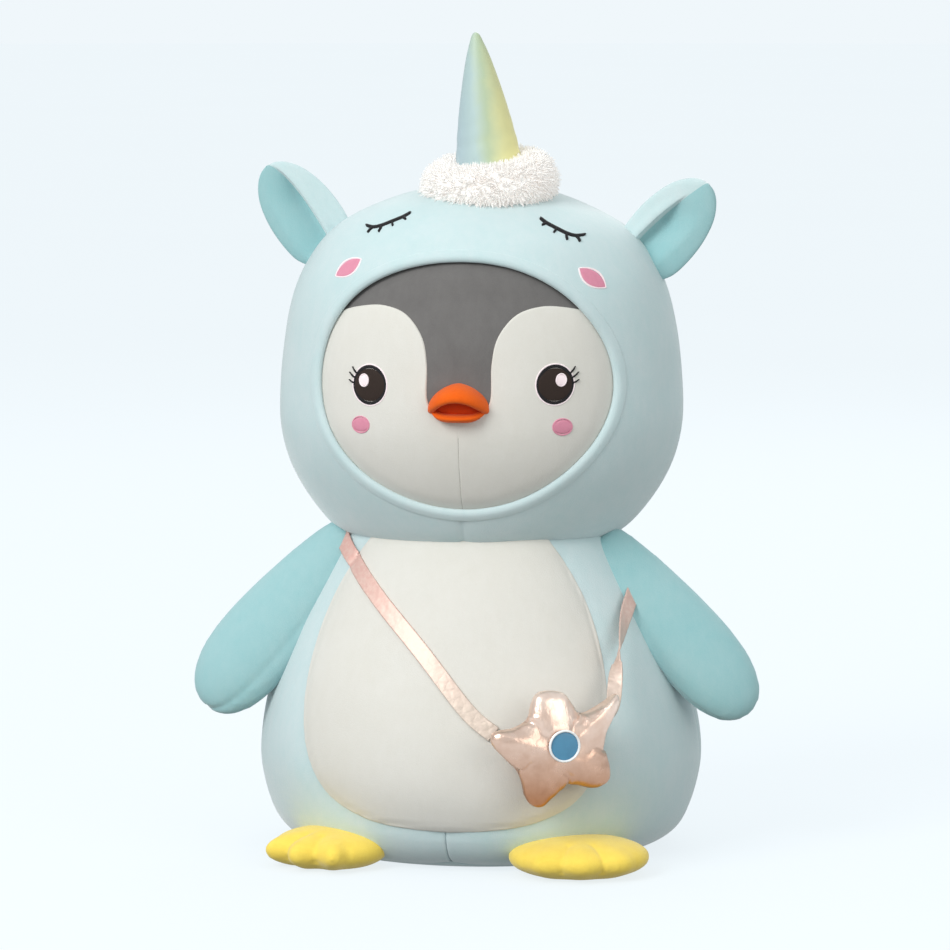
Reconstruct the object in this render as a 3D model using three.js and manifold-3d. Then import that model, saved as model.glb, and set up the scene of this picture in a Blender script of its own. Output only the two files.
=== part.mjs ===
// A stuffed penguin toy in a unicorn hood, with a star-shaped shoulder bag.
// Millimetres. X is the toy's left, -Y is its front and Z is up from the floor, with the origin
// under the middle of the base. Every stuffed form is a turned profile, flattened front to back:
// its stuffing is the core, and its cover is a thin shell round the core, cut into sewn panels.
import * as THREE from 'three';
import { mergeVertices } from 'three/addons/utils/BufferGeometryUtils.js';
import Module from 'manifold-3d';

const wasm = await Module();
wasm.setup();

// ---------------------------------------------------------------- driving dimensions

const gap = 0.4; // clearance left at every seam and between neighbours
const coverThickness = 1.8; // short-pile velour with its backing
const hoodThickness = 3; // velour, wadding and lining
const hoodRoll = THREE.MathUtils.degToRad(2); // the hood sits turned towards the toy's left
const headCentre = 300; // height that the hood turns about
const far = 400; // longer than anything that a prism or plane cuts

// A stuffed form: radius and height pairs from the bottom up, and how deep it is for its width.
const body = {
  points: [[96, 0], [117, 7], [129, 22], [136.5, 48], [137, 68], [132, 95], [121.5, 125],
    [107, 158], [94, 183], [87, 196]],
  depth: 0.9,
  rows: 10,
  segments: 28,
};
const head = {
  points: [[88, 196.4], [103, 213], [116, 234], [123, 255], [124.5, 276], [121.5, 310],
    [116, 338], [107, 360], [92, 379], [69, 393], [38, 404], [0, 408.5]],
  depth: 0.9,
  rows: 12,
  segments: 28,
};
const wing = {
  points: [[0, -14], [16, -10], [19.5, 4], [23.5, 28], [26.5, 55], [27.5, 80], [25, 102],
    [18, 119], [9, 127], [0, 129.5]],
  depth: 0.56,
  rows: 10,
  segments: 16,
};
const horn = {
  points: [[21.5, -8], [20, 12], [16.5, 34], [11.5, 56], [6, 78], [2, 92], [0, 95.6]],
  depth: 1,
  rows: 6,
  segments: 14,
};
const ear = {
  points: [[0, -6], [16, -5], [20, 6], [21.5, 20], [19.5, 34], [13.5, 47], [6.5, 54.5], [0, 57]],
  depth: 0.36,
  rows: 8,
  segments: 16,
};

const belly = { z: 112, halfWidth: 97, halfHeight: 90, topHalfWidth: 62 };
const faceOpening = { x: 0, z: 290, halfWidth: 88, halfHeight: 74 };
const hemWidth = 5;
const faceDepth = hoodThickness + gap; // how far the face lies below the hood's outer surface
const eye = { x: 55, z: 292.5, radius: 11.4 };
const eyeGlint = { x: 58, z: 296, halfWidth: 3, halfHeight: 3.7 };
const cheek = { x: 60.5, z: 268, halfWidth: 6.6, halfHeight: 5.1 };
const beak = { z: 283, halfWidth: 18.6, reach: 17, height: 12 };
const sleepyLid = { x: 53, z: 385, halfWidth: 14, sag: 6, lashes: 4, lashLength: 5, width: 1.6 };
const hoodCheek = { x: 73.5, z: 357.5, halfWidth: 9.5, halfHeight: 5, tilt: 0.62 };
const fleece = { y: -16, z: 408, ringRadius: 29, halfWidth: 14, halfHeight: 12, tilt: 0.13 };
const hornSeat = { y: -14, z: 405, lean: THREE.MathUtils.degToRad(6) };
const earSeat = { x: 99, y: -4, z: 368, splay: THREE.MathUtils.degToRad(39) };
const wingSeat = { x: 85, y: -30, z: 183, droop: 0.855, twist: 0.5 };
const feet = {
  left: { x: 70, y: -84, turn: 0.16 },
  right: { x: -74, y: -76, turn: 0.5 },
};
const foot = { halfWidth: 39, halfLength: 37, halfHeight: 14, reach: 14, middle: 10 };
const toes = { apart: Math.PI / 5, bulge: 0.07 }; // three, spread evenly about the foot's centre line
const star = { x: 60, z: 79, armRadius: 38, innerRadius: 24.5, halfThickness: 12, turn: 0.19 };
const starFacing = THREE.MathUtils.degToRad(24); // it lies on the round of the body
const badge = { radius: 9.6, rim: 1.4, thickness: 1.6, x: 4, y: 3 };
const strap = { width: 10, thickness: 1.2 };
const strapRoutes = {
  front: [[-82, 193], [-70, 181], [-50, 160], [-22, 131.5], [8, 97.5], [22, 83]],
  side: [[-92, 101], [-66, 128], [-48, 150], [-33, 168]],
  sideBack: [[-29.8, 169.5], [0, 176], [34, 178.5]],
  back: [[88, 178.5], [50, 178], [0, 180], [-50, 186], [-86, 189.5]],
  shoulder: [[33, 189.5], [0, 190.5], [-25, 189.5]],
};

// How far each sewn-on part swings, in degrees from rest, so that its seam leaves room for it.
const swings = {
  wing: { range: [0, 40] },
  ear: { range: [-20, 20] },
  horn: { range: [-12, 12] },
  foot: { range: [-8, 16], height: 10 },
  bag: { range: [0, 15], from: [-84, -30, 199], to: [95, -28, 177] },
};

const colours = {
  blue: 0xa9ccd4,
  teal: 0x86c4c8,
  white: 0xe4e2dc,
  grey: 0x858487,
  orange: 0xff6e12,
  darkOrange: 0xc03c08,
  brown: 0x2c2320,
  black: 0x151517,
  pink: 0xe296b0,
  yellow: 0xf0d562,
  fleece: 0xf3f1ee,
  horn: 0xb4c6b0,
  filling: 0xf2f0ea,
  roseGold: 0xc99784,
  ribbon: 0xdcb5aa,
  badgeBlue: 0x4b8cab,
};

// ---------------------------------------------------------------- solids

/** A closed three.js geometry as a manifold-3d solid. */
function toSolid(geometry) {
  const bare = geometry.clone();
  bare.deleteAttribute('normal');
  bare.deleteAttribute('uv');
  const merged = mergeVertices(bare, 1e-4);
  const corners = merged.index.array;
  const triangles = [];
  for (let i = 0; i < corners.length; i += 3) {
    const [a, b, c] = corners.slice(i, i + 3);
    if (a !== b && b !== c && c !== a) triangles.push(a, b, c);
  }
  const vertProperties = new Float32Array(merged.attributes.position.array);
  return new wasm.Manifold(
    new wasm.Mesh({ numProp: 3, vertProperties, triVerts: new Uint32Array(triangles) }),
  );
}

/** A manifold-3d solid as a three.js geometry. */
function toGeometry(solid) {
  const mesh = solid.getMesh();
  const geometry = new THREE.BufferGeometry();
  geometry.setAttribute('position', new THREE.BufferAttribute(mesh.vertProperties, 3));
  geometry.setIndex(new THREE.BufferAttribute(mesh.triVerts, 1));
  return geometry;
}

/** The rows of a form's profile, moved inwards by inset. */
function profileRows(form, inset) {
  const curve = new THREE.SplineCurve(form.points.map(([r, z]) => new THREE.Vector2(r, z)));
  const rows = curve.getPoints(form.rows);
  return rows.map((point, i) => {
    const before = rows[Math.max(i - 1, 0)];
    const after = rows[Math.min(i + 1, rows.length - 1)];
    const along = after.clone().sub(before).normalize();
    const onAxis = point.x < 1e-6;
    const radius = onAxis ? 0 : Math.max(point.x - inset * along.y, 0.05);
    return new THREE.Vector2(radius, point.y + inset * along.x);
  });
}

/** A form as a solid, moved inwards by inset; open ends run on by overrun, to cut right through. */
function formSolid(form, inset = 0, overrun = 0) {
  const rows = profileRows(form, inset);
  const first = rows[0];
  const last = rows[rows.length - 1];
  const profile = [...rows];
  if (first.x > 0) {
    if (overrun > 0) profile.unshift(new THREE.Vector2(first.x, first.y - overrun));
    profile.unshift(new THREE.Vector2(0, profile[0].y));
  }
  if (last.x > 0) {
    if (overrun > 0) profile.push(new THREE.Vector2(last.x, last.y + overrun));
    profile.push(new THREE.Vector2(0, profile[profile.length - 1].y));
  }
  const geometry = new THREE.LatheGeometry(profile, form.segments);
  geometry.rotateX(Math.PI / 2);
  geometry.scale(1, form.depth, 1);
  return toSolid(geometry);
}

/** The layer of a form between two insets. */
function layer(form, outer, inner) {
  return formSolid(form, outer).subtract(formSolid(form, inner, 30));
}

/** A prism in front of the X-Z plane, over an outline drawn in X and Z. */
function frontPrism(outline) {
  const geometry = new THREE.ExtrudeGeometry(outline, { depth: far, bevelEnabled: false });
  geometry.rotateX(Math.PI / 2);
  return toSolid(geometry);
}

/** The same prism behind the X-Z plane. */
function backPrism(outline) {
  return frontPrism(outline).translate([0, far, 0]);
}

/** A prism on one side of the Y-Z plane, over an outline drawn in Y and Z. */
function sidePrism(outline, side) {
  const geometry = new THREE.ExtrudeGeometry(outline, { depth: far, bevelEnabled: false });
  geometry.rotateX(Math.PI / 2);
  geometry.rotateZ(Math.PI / 2);
  return toSolid(geometry).translate([side > 0 ? 0 : -far, 0, 0]);
}

/** An ellipse as an outline. */
function ellipse(x, z, halfWidth, halfHeight, tilt = 0, segments = 20) {
  const curve = new THREE.EllipseCurve(x, z, halfWidth, halfHeight, 0, 2 * Math.PI, false, tilt);
  return new THREE.Shape(curve.getPoints(segments).slice(0, segments));
}

/** A band of a given width along a smooth line of points. */
function band(points, width, steps = 9) {
  const line = new THREE.SplineCurve(points.map(([x, z]) => new THREE.Vector2(x, z)));
  const edges = [1, -1].map((side) => line.getPoints(steps).map((point, i) => {
    const along = line.getTangent(i / steps);
    return new THREE.Vector2(point.x - along.y * side * width / 2, point.y + along.x * side * width / 2);
  }));
  return new THREE.Shape([...edges[0], ...edges[1].reverse()]);
}

/** A sphere stretched to three half-sizes and moved to a place. */
function ellipsoid([hx, hy, hz], [x, y, z], [around, down] = [12, 8]) {
  const geometry = new THREE.SphereGeometry(1, around, down);
  geometry.rotateX(Math.PI / 2);
  geometry.scale(hx, hy, hz);
  geometry.translate(x, y, z);
  return toSolid(geometry);
}

/** The part of a solid on the positive side of a plane. */
function keep(solid, normal, offset) {
  return solid.trimByPlane(normal, offset);
}

/** A solid in the world's frame, brought into a group's frame. */
function inFrameOf(group, solid) {
  const inverse = group.matrixWorld.clone().invert();
  return solid.transform(inverse.elements);
}

/** A still neighbour as a swinging part meets it, over the part's whole range, in one solid. */
function swungBack(solid, { at, axis }, [lowest, highest], step = 8) {
  const count = Math.ceil((highest - lowest) / step);
  const line = new THREE.Vector3(...axis).normalize();
  let swept = solid;
  for (let i = 0; i <= count; i += 1) {
    const degrees = lowest + ((highest - lowest) * i) / count;
    const turn = new THREE.Matrix4().makeRotationAxis(line, THREE.MathUtils.degToRad(-degrees));
    turn.multiply(new THREE.Matrix4().makeTranslation(-at[0], -at[1], -at[2]));
    turn.premultiply(new THREE.Matrix4().makeTranslation(...at));
    swept = swept.add(solid.transform(turn.elements));
  }
  return swept;
}

// ---------------------------------------------------------------- the assembly

const penguin = new THREE.Group();

/** Adds one named piece to a group. */
function addPiece(name, solid, colour, roughness = 0.9, metalness = 0, group = penguin) {
  const material = new THREE.MeshStandardMaterial({ color: colours[colour], roughness, metalness });
  const mesh = new THREE.Mesh(toGeometry(solid), material);
  mesh.name = name;
  group.add(mesh);
  return mesh;
}

/** A sub-assembly's group, at its seat and turned to its own axes. */
function seatGroup(position, axes) {
  const group = new THREE.Group();
  group.position.set(...position);
  if (axes) group.setRotationFromMatrix(new THREE.Matrix4().makeBasis(...axes));
  penguin.add(group);
  group.updateMatrixWorld(true);
  return group;
}

/** A point of the hood, turned with the hood in the X-Z plane. */
function onHood(x, z) {
  const c = Math.cos(hoodRoll);
  const s = Math.sin(hoodRoll);
  return [x * c + (z - headCentre) * s, headCentre + (z - headCentre) * c - x * s];
}

const bodyClear = formSolid(body, -(strap.thickness + 2 * gap)); // the body and its strap, with clearance
const headClear = formSolid(head, -gap);

// ---------------------------------------------------------------- body

function buildBody() {
  const whole = formSolid(body);
  const basePanel = keep(whole, [0, 0, -1], -coverThickness);
  addPiece('base_panel', basePanel, 'blue');
  const aboveBase = coverThickness + gap;
  addPiece('body_stuffing', keep(formSolid(body, aboveBase), [0, 0, 1], aboveBase), 'filling');

  const shell = keep(layer(body, 0, coverThickness), [0, 0, 1], aboveBase);
  const bellyOutline = (grow) => {
    const side = belly.halfWidth + grow;
    const neck = belly.topHalfWidth + grow;
    const top = belly.z + belly.halfHeight;
    const low = belly.z - belly.halfHeight - grow;
    const upperBend = belly.z + belly.halfHeight * 0.3;
    const lowerBend = belly.z - belly.halfHeight * 0.62;
    const shape = new THREE.Shape();
    shape.moveTo(-neck, top);
    shape.bezierCurveTo(-side, upperBend, -side * 1.14, lowerBend, -side * 0.55, low + 14);
    shape.bezierCurveTo(-side * 0.3, low, side * 0.3, low, side * 0.55, low + 14);
    shape.bezierCurveTo(side * 1.14, lowerBend, side, upperBend, neck, top);
    return shape;
  };
  addPiece('belly_panel', shell.intersect(frontPrism(bellyOutline(-gap / 2))), 'white');

  const blue = shell.subtract(frontPrism(bellyOutline(gap / 2)));
  const front = keep(blue, [0, -1, 0], gap / 2);
  const back = keep(blue, [0, 1, 0], gap / 2);
  addPiece('body_front_left', keep(front, [1, 0, 0], gap / 2), 'blue');
  addPiece('body_front_right', keep(front, [-1, 0, 0], gap / 2), 'blue');
  addPiece('body_back_left', keep(back, [1, 0, 0], gap / 2), 'blue');
  addPiece('body_back_right', keep(back, [-1, 0, 0], gap / 2), 'blue');
}

// ---------------------------------------------------------------- face

function buildFace() {
  const faceBottom = faceDepth + coverThickness;
  addPiece('head_stuffing', formSolid(head, faceBottom + gap), 'filling');

  const under = { halfWidth: faceOpening.halfWidth + 10, halfHeight: faceOpening.halfHeight + 10 };
  const rim = ellipse(faceOpening.x, faceOpening.z, under.halfWidth, under.halfHeight, 0, 32);
  const skin = layer(head, faceDepth, faceBottom).intersect(frontPrism(rim));

  const lobe = (side, grow) => {
    const shape = new THREE.Shape();
    shape.moveTo(side * (gap / 2 - grow), 270);
    shape.lineTo(side * (19.5 - grow), 283);
    shape.lineTo(side * (19.5 - grow), 305);
    shape.bezierCurveTo(side * (20 - grow), 328, side * (34 - grow), 340 + grow, side * 54, 340 + grow);
    shape.bezierCurveTo(side * 78, 340 + grow, side * 96, 330, side * 110, 305);
    shape.lineTo(side * 110, 190);
    shape.lineTo(side * (gap / 2 - grow), 190);
    return shape;
  };
  const lobes = { left: frontPrism(lobe(1, 0)), right: frontPrism(lobe(-1, 0)) };
  addPiece('face_left', skin.intersect(lobes.left), 'white');
  addPiece('face_right', skin.intersect(lobes.right), 'white');
  const whites = frontPrism(lobe(1, gap)).add(frontPrism(lobe(-1, gap)));
  addPiece('crown_panel', skin.subtract(whites), 'grey');

  const patch = layer(head, faceDepth - gap - 0.8, faceDepth - gap);
  const glintLayer = layer(head, faceDepth - 2 * gap - 1.4, faceDepth - 2 * gap - 0.8);
  for (const [name, side] of [['left', 1], ['right', -1]]) {
    const disc = ellipse(side * eye.x, eye.z, eye.radius, eye.radius);
    addPiece(`eye_${name}`, patch.intersect(frontPrism(disc)), 'brown', 0.5);
    const spot = ellipse(side * eyeGlint.x, eyeGlint.z, eyeGlint.halfWidth, eyeGlint.halfHeight, 0, 14);
    addPiece(`eye_glint_${name}`, glintLayer.intersect(frontPrism(spot)), 'white', 0.6);
    const blush = ellipse(side * cheek.x, cheek.z, cheek.halfWidth, cheek.halfHeight, 0, 18);
    addPiece(`cheek_${name}`, patch.intersect(frontPrism(blush)), 'pink', 0.7);
  }
}

// ---------------------------------------------------------------- beak

function buildBeak() {
  const faceFront = -111.5 + faceDepth;
  const clear = formSolid(head, faceDepth - gap);
  const { z, halfWidth, reach, height } = beak;
  const upper = ellipsoid([halfWidth, reach + 6, height], [0, faceFront + 6, z]);
  const mouth = ellipsoid([halfWidth * 0.8, reach + 4, height * 0.55], [0, faceFront - 4, z - 3]);
  const above = keep(upper, [0, 0, 1], z - 5).subtract(mouth);
  addPiece('beak_upper', above.subtract(clear), 'orange');
  const lower = ellipsoid([halfWidth * 0.96, reach, height * 0.6], [0, faceFront + 4, z - 5.5]);
  const below = keep(lower, [0, 0, -1], -(z - 5 - gap));
  addPiece('beak_lower', below.subtract(clear), 'orange');
  const palate = ellipsoid([halfWidth * 0.72, reach * 0.6, height * 0.45], [0, faceFront, z - 2.6]);
  const steps = [[gap, 0, 0], [-gap, 0, 0], [0, 0, -gap], [0, 0, 0]];
  const upperRoom = steps.map((step) => above.translate(step)).reduce((all, next) => all.add(next));
  const lining = keep(palate, [0, 0, 1], z - 5 + gap / 2).subtract(clear).subtract(upperRoom);
  addPiece('mouth_lining', lining, 'darkOrange');
}

// ---------------------------------------------------------------- hood

function buildHood() {
  const shell = layer(head, 0, hoodThickness);
  const opening = (grow) => {
    const [x, z] = onHood(faceOpening.x, faceOpening.z);
    const { halfWidth, halfHeight } = faceOpening;
    return frontPrism(ellipse(x, z, halfWidth + grow, halfHeight + grow, -hoodRoll, 36));
  };
  const front = keep(shell, [0, -1, 0], gap / 2).subtract(opening(hemWidth + gap));
  const chinSeam = new THREE.BoxGeometry(gap, far, 60);
  chinSeam.translate(-3, -far / 2, 196);
  addPiece('hood_front', front.subtract(toSolid(chinSeam)), 'blue');
  const back = keep(shell, [0, 1, 0], gap / 2);
  addPiece('hood_back_left', keep(back, [1, 0, 0], gap / 2), 'blue');
  addPiece('hood_back_right', keep(back, [-1, 0, 0], gap / 2), 'blue');
  const hem = layer(head, -1, hoodThickness).intersect(opening(hemWidth)).subtract(opening(0));
  addPiece('hood_hem', hem, 'blue');

  const patch = layer(head, -gap - 0.7, -gap);
  for (const [name, side] of [['left', 1], ['right', -1]]) {
    addPiece(`sleepy_lid_${name}`, patch.intersect(sleepyLidPrism(side)), 'black', 0.6);
    const [x, z] = onHood(side * hoodCheek.x, hoodCheek.z);
    const almond = ellipse(x, z, hoodCheek.halfWidth, hoodCheek.halfHeight, -side * hoodCheek.tilt, 18);
    addPiece(`hood_cheek_${name}`, patch.intersect(frontPrism(almond)), 'pink', 0.7);
  }
}

/** The closed eyelid's stitched line, with its lashes, as one prism. */
function sleepyLidPrism(side) {
  const { x, z, halfWidth, sag, lashes, lashLength, width } = sleepyLid;
  const lidAt = (t) => onHood(side * (x + t * halfWidth), z - t * 4.5 - sag * (1 - t * t) * 0.5);
  const line = [-1, -0.5, 0, 0.5, 1].map(lidAt);
  let prism = frontPrism(band(line, width, 6));
  for (let i = 0; i < lashes; i += 1) {
    const t = -0.6 + (1.6 * i) / (lashes - 1);
    const [lx, lz] = lidAt(t);
    const splay = side * (t * 0.55 - 0.1);
    const tip = [lx + lashLength * Math.sin(splay), lz - lashLength * Math.cos(splay)];
    prism = prism.add(frontPrism(band([[lx, lz + width * 0.3], tip], width * 0.8, 2)));
  }
  return prism;
}

// ---------------------------------------------------------------- horn and fleece

function buildHorn() {
  const [x, z] = onHood(0, hornSeat.z);
  const lean = new THREE.Matrix4().makeRotationY(-hornSeat.lean);
  const axes = [0, 1, 2].map((i) => new THREE.Vector3().setFromMatrixColumn(lean, i));
  const group = seatGroup([x, hornSeat.y, z], axes);
  const hinge = { at: [x, hornSeat.y, z], axis: [1, 0, 0] };
  const hoodCut = inFrameOf(group, swungBack(headClear, hinge, swings.horn.range));
  addPiece('horn_cover', layer(horn, 0, 1).subtract(hoodCut), 'horn', 0.45, 0, group);
  addPiece('horn_stuffing', formSolid(horn, 1 + gap).subtract(hoodCut), 'filling', 0.9, 0, group);

  const section = new THREE.EllipseCurve(
    fleece.ringRadius, 0, fleece.halfWidth, fleece.halfHeight, 0, 2 * Math.PI, false, 0);
  const ring = new THREE.LatheGeometry(section.getPoints(8), 20);
  ring.rotateX(Math.PI / 2);
  ring.rotateX(fleece.tilt);
  const [fx, fz] = onHood(0, fleece.z);
  ring.translate(fx + 1, fleece.y, fz);
  const uprightHorn = formSolid(horn, -gap).transform(group.matrixWorld.elements);
  const hornRoom = swungBack(uprightHorn, hinge, swings.horn.range);
  addPiece('fleece_ring', toSolid(ring).subtract(headClear).subtract(hornRoom), 'fleece', 1);
}

// ---------------------------------------------------------------- ears

function buildEar(name, side) {
  const [x, z] = onHood(side * earSeat.x, earSeat.z);
  const splay = side * earSeat.splay + hoodRoll;
  const along = new THREE.Vector3(Math.sin(splay), 0, Math.cos(splay));
  const back = new THREE.Vector3(0, 1, 0);
  const axes = [back.clone().cross(along), back, along];
  const group = seatGroup([x, earSeat.y, z], axes);
  const hinge = { at: [x, earSeat.y, z], axis: axes[0].toArray() };
  const hoodCut = swungBack(headClear, hinge, swings.ear.range);
  const whole = formSolid(ear).subtract(inFrameOf(group, hoodCut));
  addPiece(`ear_${name}_lining`, keep(whole, [0, -1, 0], gap / 2), 'teal', 0.9, 0, group);
  addPiece(`ear_${name}_outer`, keep(whole, [0, 1, 0], gap / 2), 'blue', 0.9, 0, group);
}

// ---------------------------------------------------------------- wings

function buildWing(name, side, besideIt) {
  const { x, y, z, droop, twist } = wingSeat;
  const along = new THREE.Vector3(side * Math.cos(droop), 0, -Math.sin(droop));
  const outward = new THREE.Vector3(side * Math.sin(droop), 0, Math.cos(droop));
  const facing = new THREE.Vector3(0, -Math.cos(twist), 0).addScaledVector(outward, Math.sin(twist));
  const group = seatGroup([side * x, y, z], [facing.clone().cross(along), facing, along]);
  const hinge = { at: [side * x, y, z], axis: [0, -side, 0] };
  const neighbours = bodyClear.add(formSolid(head, -1.5)).add(besideIt);
  const cut = inFrameOf(group, swungBack(neighbours, hinge, swings.wing.range));
  const cover = layer(wing, 0, coverThickness).subtract(cut);
  addPiece(`wing_${name}_top`, keep(cover, [0, 1, 0], gap / 2), 'teal', 0.9, 0, group);
  addPiece(`wing_${name}_under`, keep(cover, [0, -1, 0], gap / 2), 'teal', 0.9, 0, group);
  const core = formSolid(wing, coverThickness + gap).subtract(cut);
  addPiece(`wing_${name}_stuffing`, core, 'filling', 0.9, 0, group);
}

// ---------------------------------------------------------------- feet

/** A foot, moved inwards by inset: a low mound whose front edge bulges into three toes. */
function footSolid(inset) {
  const geometry = new THREE.SphereGeometry(1, 40, 7);
  geometry.rotateX(Math.PI / 2);
  const at = geometry.attributes.position;
  for (let i = 0; i < at.count; i += 1) {
    const fromFront = Math.atan2(at.getX(i), -at.getY(i));
    const inToes = Math.abs(fromFront) < 1.6 * toes.apart;
    const bulge = inToes ? 1 + toes.bulge * Math.cos((2 * Math.PI * fromFront) / toes.apart) : 1 - toes.bulge;
    const x = at.getX(i) * (foot.halfWidth * bulge - inset);
    const y = at.getY(i) * (foot.halfLength * bulge - inset) - foot.reach;
    at.setXYZ(i, x, y, at.getZ(i) * (foot.halfHeight - inset) + foot.middle);
  }
  return toSolid(geometry);
}

function buildFoot(name, { x, y, turn }) {
  const group = new THREE.Group();
  group.position.set(x, y, 0);
  group.rotation.z = Math.sign(x) * turn;
  penguin.add(group);
  group.updateMatrixWorld(true);
  const turned = group.rotation.z;
  const hinge = { at: [x, y, swings.foot.height], axis: [-Math.cos(turned), -Math.sin(turned), 0] };
  const bodyCut = inFrameOf(group, swungBack(formSolid(body, -gap), hinge, swings.foot.range));
  const floorGap = coverThickness + gap;
  const whole = keep(footSolid(0), [0, 0, 1], 0).subtract(bodyCut);
  addPiece(`foot_${name}_sole`, largest(keep(whole, [0, 0, -1], -coverThickness)), 'yellow', 0.9, 0, group);
  const top = keep(whole.subtract(footSolid(coverThickness)), [0, 0, 1], floorGap);
  addPiece(`foot_${name}_top`, largest(top), 'yellow', 0.9, 0, group);
  const core = keep(footSolid(floorGap), [0, 0, 1], floorGap).subtract(bodyCut);
  addPiece(`foot_${name}_stuffing`, largest(core), 'filling', 0.9, 0, group);
}

/** The largest closed body of a solid: a cut can leave slivers beside it. */
function largest(solid) {
  return solid.decompose().reduce((best, next) => (next.volume() > best.volume() ? next : best));
}

// ---------------------------------------------------------------- star bag and strap

/** The star cushion, moved inwards by inset: a sphere pushed out into five rounded arms. */
function starSolid(inset) {
  const geometry = new THREE.SphereGeometry(1, 30, 8);
  geometry.rotateX(Math.PI / 2);
  const at = geometry.attributes.position;
  for (let i = 0; i < at.count; i += 1) {
    const angle = Math.atan2(at.getY(i), at.getX(i));
    const arm = ((1 + Math.cos(5 * (angle - star.turn - Math.PI / 2))) / 2) ** 1.25;
    const radius = star.innerRadius + (star.armRadius - star.innerRadius) * arm - inset;
    const thickness = star.halfThickness - inset;
    at.setXYZ(i, at.getX(i) * radius, at.getY(i) * radius, at.getZ(i) * thickness);
  }
  return toSolid(geometry);
}

function buildBag() {
  const across = new THREE.Vector3(Math.cos(starFacing), Math.sin(starFacing), 0);
  const up = new THREE.Vector3(0, 0, 1);
  const facing = across.clone().cross(up);
  const surface = new THREE.Vector3(star.x, -113, star.z);
  const seat = surface.addScaledVector(facing, star.halfThickness + 1.5);
  const group = seatGroup(seat.toArray(), [across, up, facing]);
  const clear = inFrameOf(group, formSolid(body, -gap));
  const cover = starSolid(0).subtract(starSolid(1.2)).subtract(clear);
  addPiece('star_front', keep(cover, [0, 0, 1], gap / 2), 'roseGold', 0.35, 0.8, group);
  addPiece('star_back', largest(keep(cover, [0, 0, -1], gap / 2)), 'roseGold', 0.35, 0.8, group);
  addPiece('star_stuffing', starSolid(1.2 + gap).subtract(clear), 'filling', 0.9, 0, group);

  const face = new THREE.Group();
  face.position.set(badge.x, badge.y, star.halfThickness + gap);
  group.add(face);
  const discRadius = badge.radius - badge.rim - gap;
  const disc = new THREE.CylinderGeometry(discRadius, discRadius, badge.thickness, 24);
  disc.rotateX(Math.PI / 2).translate(0, 0, badge.thickness / 2);
  addPiece('badge_disc', toSolid(disc), 'badgeBlue', 0.35, 0, face);
  const outer = new THREE.CylinderGeometry(badge.radius, badge.radius, badge.thickness, 24);
  const inner = new THREE.CylinderGeometry(badge.radius - badge.rim, badge.radius - badge.rim, far, 32);
  for (const ring of [outer, inner]) ring.rotateX(Math.PI / 2).translate(0, 0, badge.thickness / 2);
  addPiece('badge_rim', toSolid(outer).subtract(toSolid(inner)), 'white', 0.4, 0, face);

  const starRoom = starSolid(-gap).transform(group.matrixWorld.elements);
  return buildStrap(starRoom);
}

/**
 * The strap: a flat ribbon that lies on the body, as a thin layer cut along its route.
 * Returns the room that its side and front stretches need as the bag lifts.
 */
function buildStrap(starRoom) {
  const { from, to, range } = swings.bag;
  const hinge = { at: from, axis: from.map((value, i) => value - to[i]) };
  const ribbon = layer(body, -(gap + strap.thickness), -gap).subtract(swungBack(headClear, hinge, range));
  const along = (points, spare = 0) => band(points, strap.width + spare);

  const front = ribbon.intersect(frontPrism(along(strapRoutes.front)));
  addPiece('strap_front', largest(front.subtract(starRoom)), 'ribbon', 0.5);
  const side = ribbon.intersect(sidePrism(along(strapRoutes.side), 1));
  addPiece('strap_side', largest(side.subtract(starRoom)), 'ribbon', 0.5);

  const armpit = sidePrism(along(strapRoutes.sideBack), 1);
  const back = backPrism(along(strapRoutes.back));
  const shoulder = sidePrism(along(strapRoutes.shoulder), -1);
  const frontRoom = frontPrism(along(strapRoutes.front, 8));
  const behind = armpit.add(back).add(shoulder).subtract(frontRoom);
  addPiece('strap_back', largest(ribbon.intersect(behind)), 'ribbon', 0.5);

  const spare = 4; // wider than the ribbon, so that a wing's edge clears it
  const paths = sidePrism(along(strapRoutes.side, spare), 1).add(frontPrism(along(strapRoutes.front, spare)));
  const thick = layer(body, -(2 * gap + strap.thickness), 0).intersect(paths);
  return swungBack(thick, hinge, [-range[1], 0], 4);
}

buildBody();
buildFace();
buildBeak();
buildHood();
buildHorn();
const strapRoom = buildBag();
for (const [name, side] of [['left', 1], ['right', -1]]) {
  buildEar(name, side);
  buildWing(name, side, strapRoom);
}
buildFoot('left', feet.left);
buildFoot('right', feet.right);

export default penguin;
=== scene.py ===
"""A stuffed penguin in a unicorn hood, with a star shoulder bag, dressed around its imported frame.

Sizes are in millimetres in the toy's own frame: X is its left, -Y its front, and Z is up.
Meshes are written in metres. Each sub-assembly is a class, and each finish is a frozen dataclass.
"""

import logging
import math
import random
from dataclasses import dataclass, field
from enum import Enum
from typing import Any, Callable, Iterable, Sequence

import bmesh
import bpy
from mathutils import Matrix, Vector, noise
from mathutils.bvhtree import BVHTree
from mathutils.kdtree import KDTree


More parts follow.
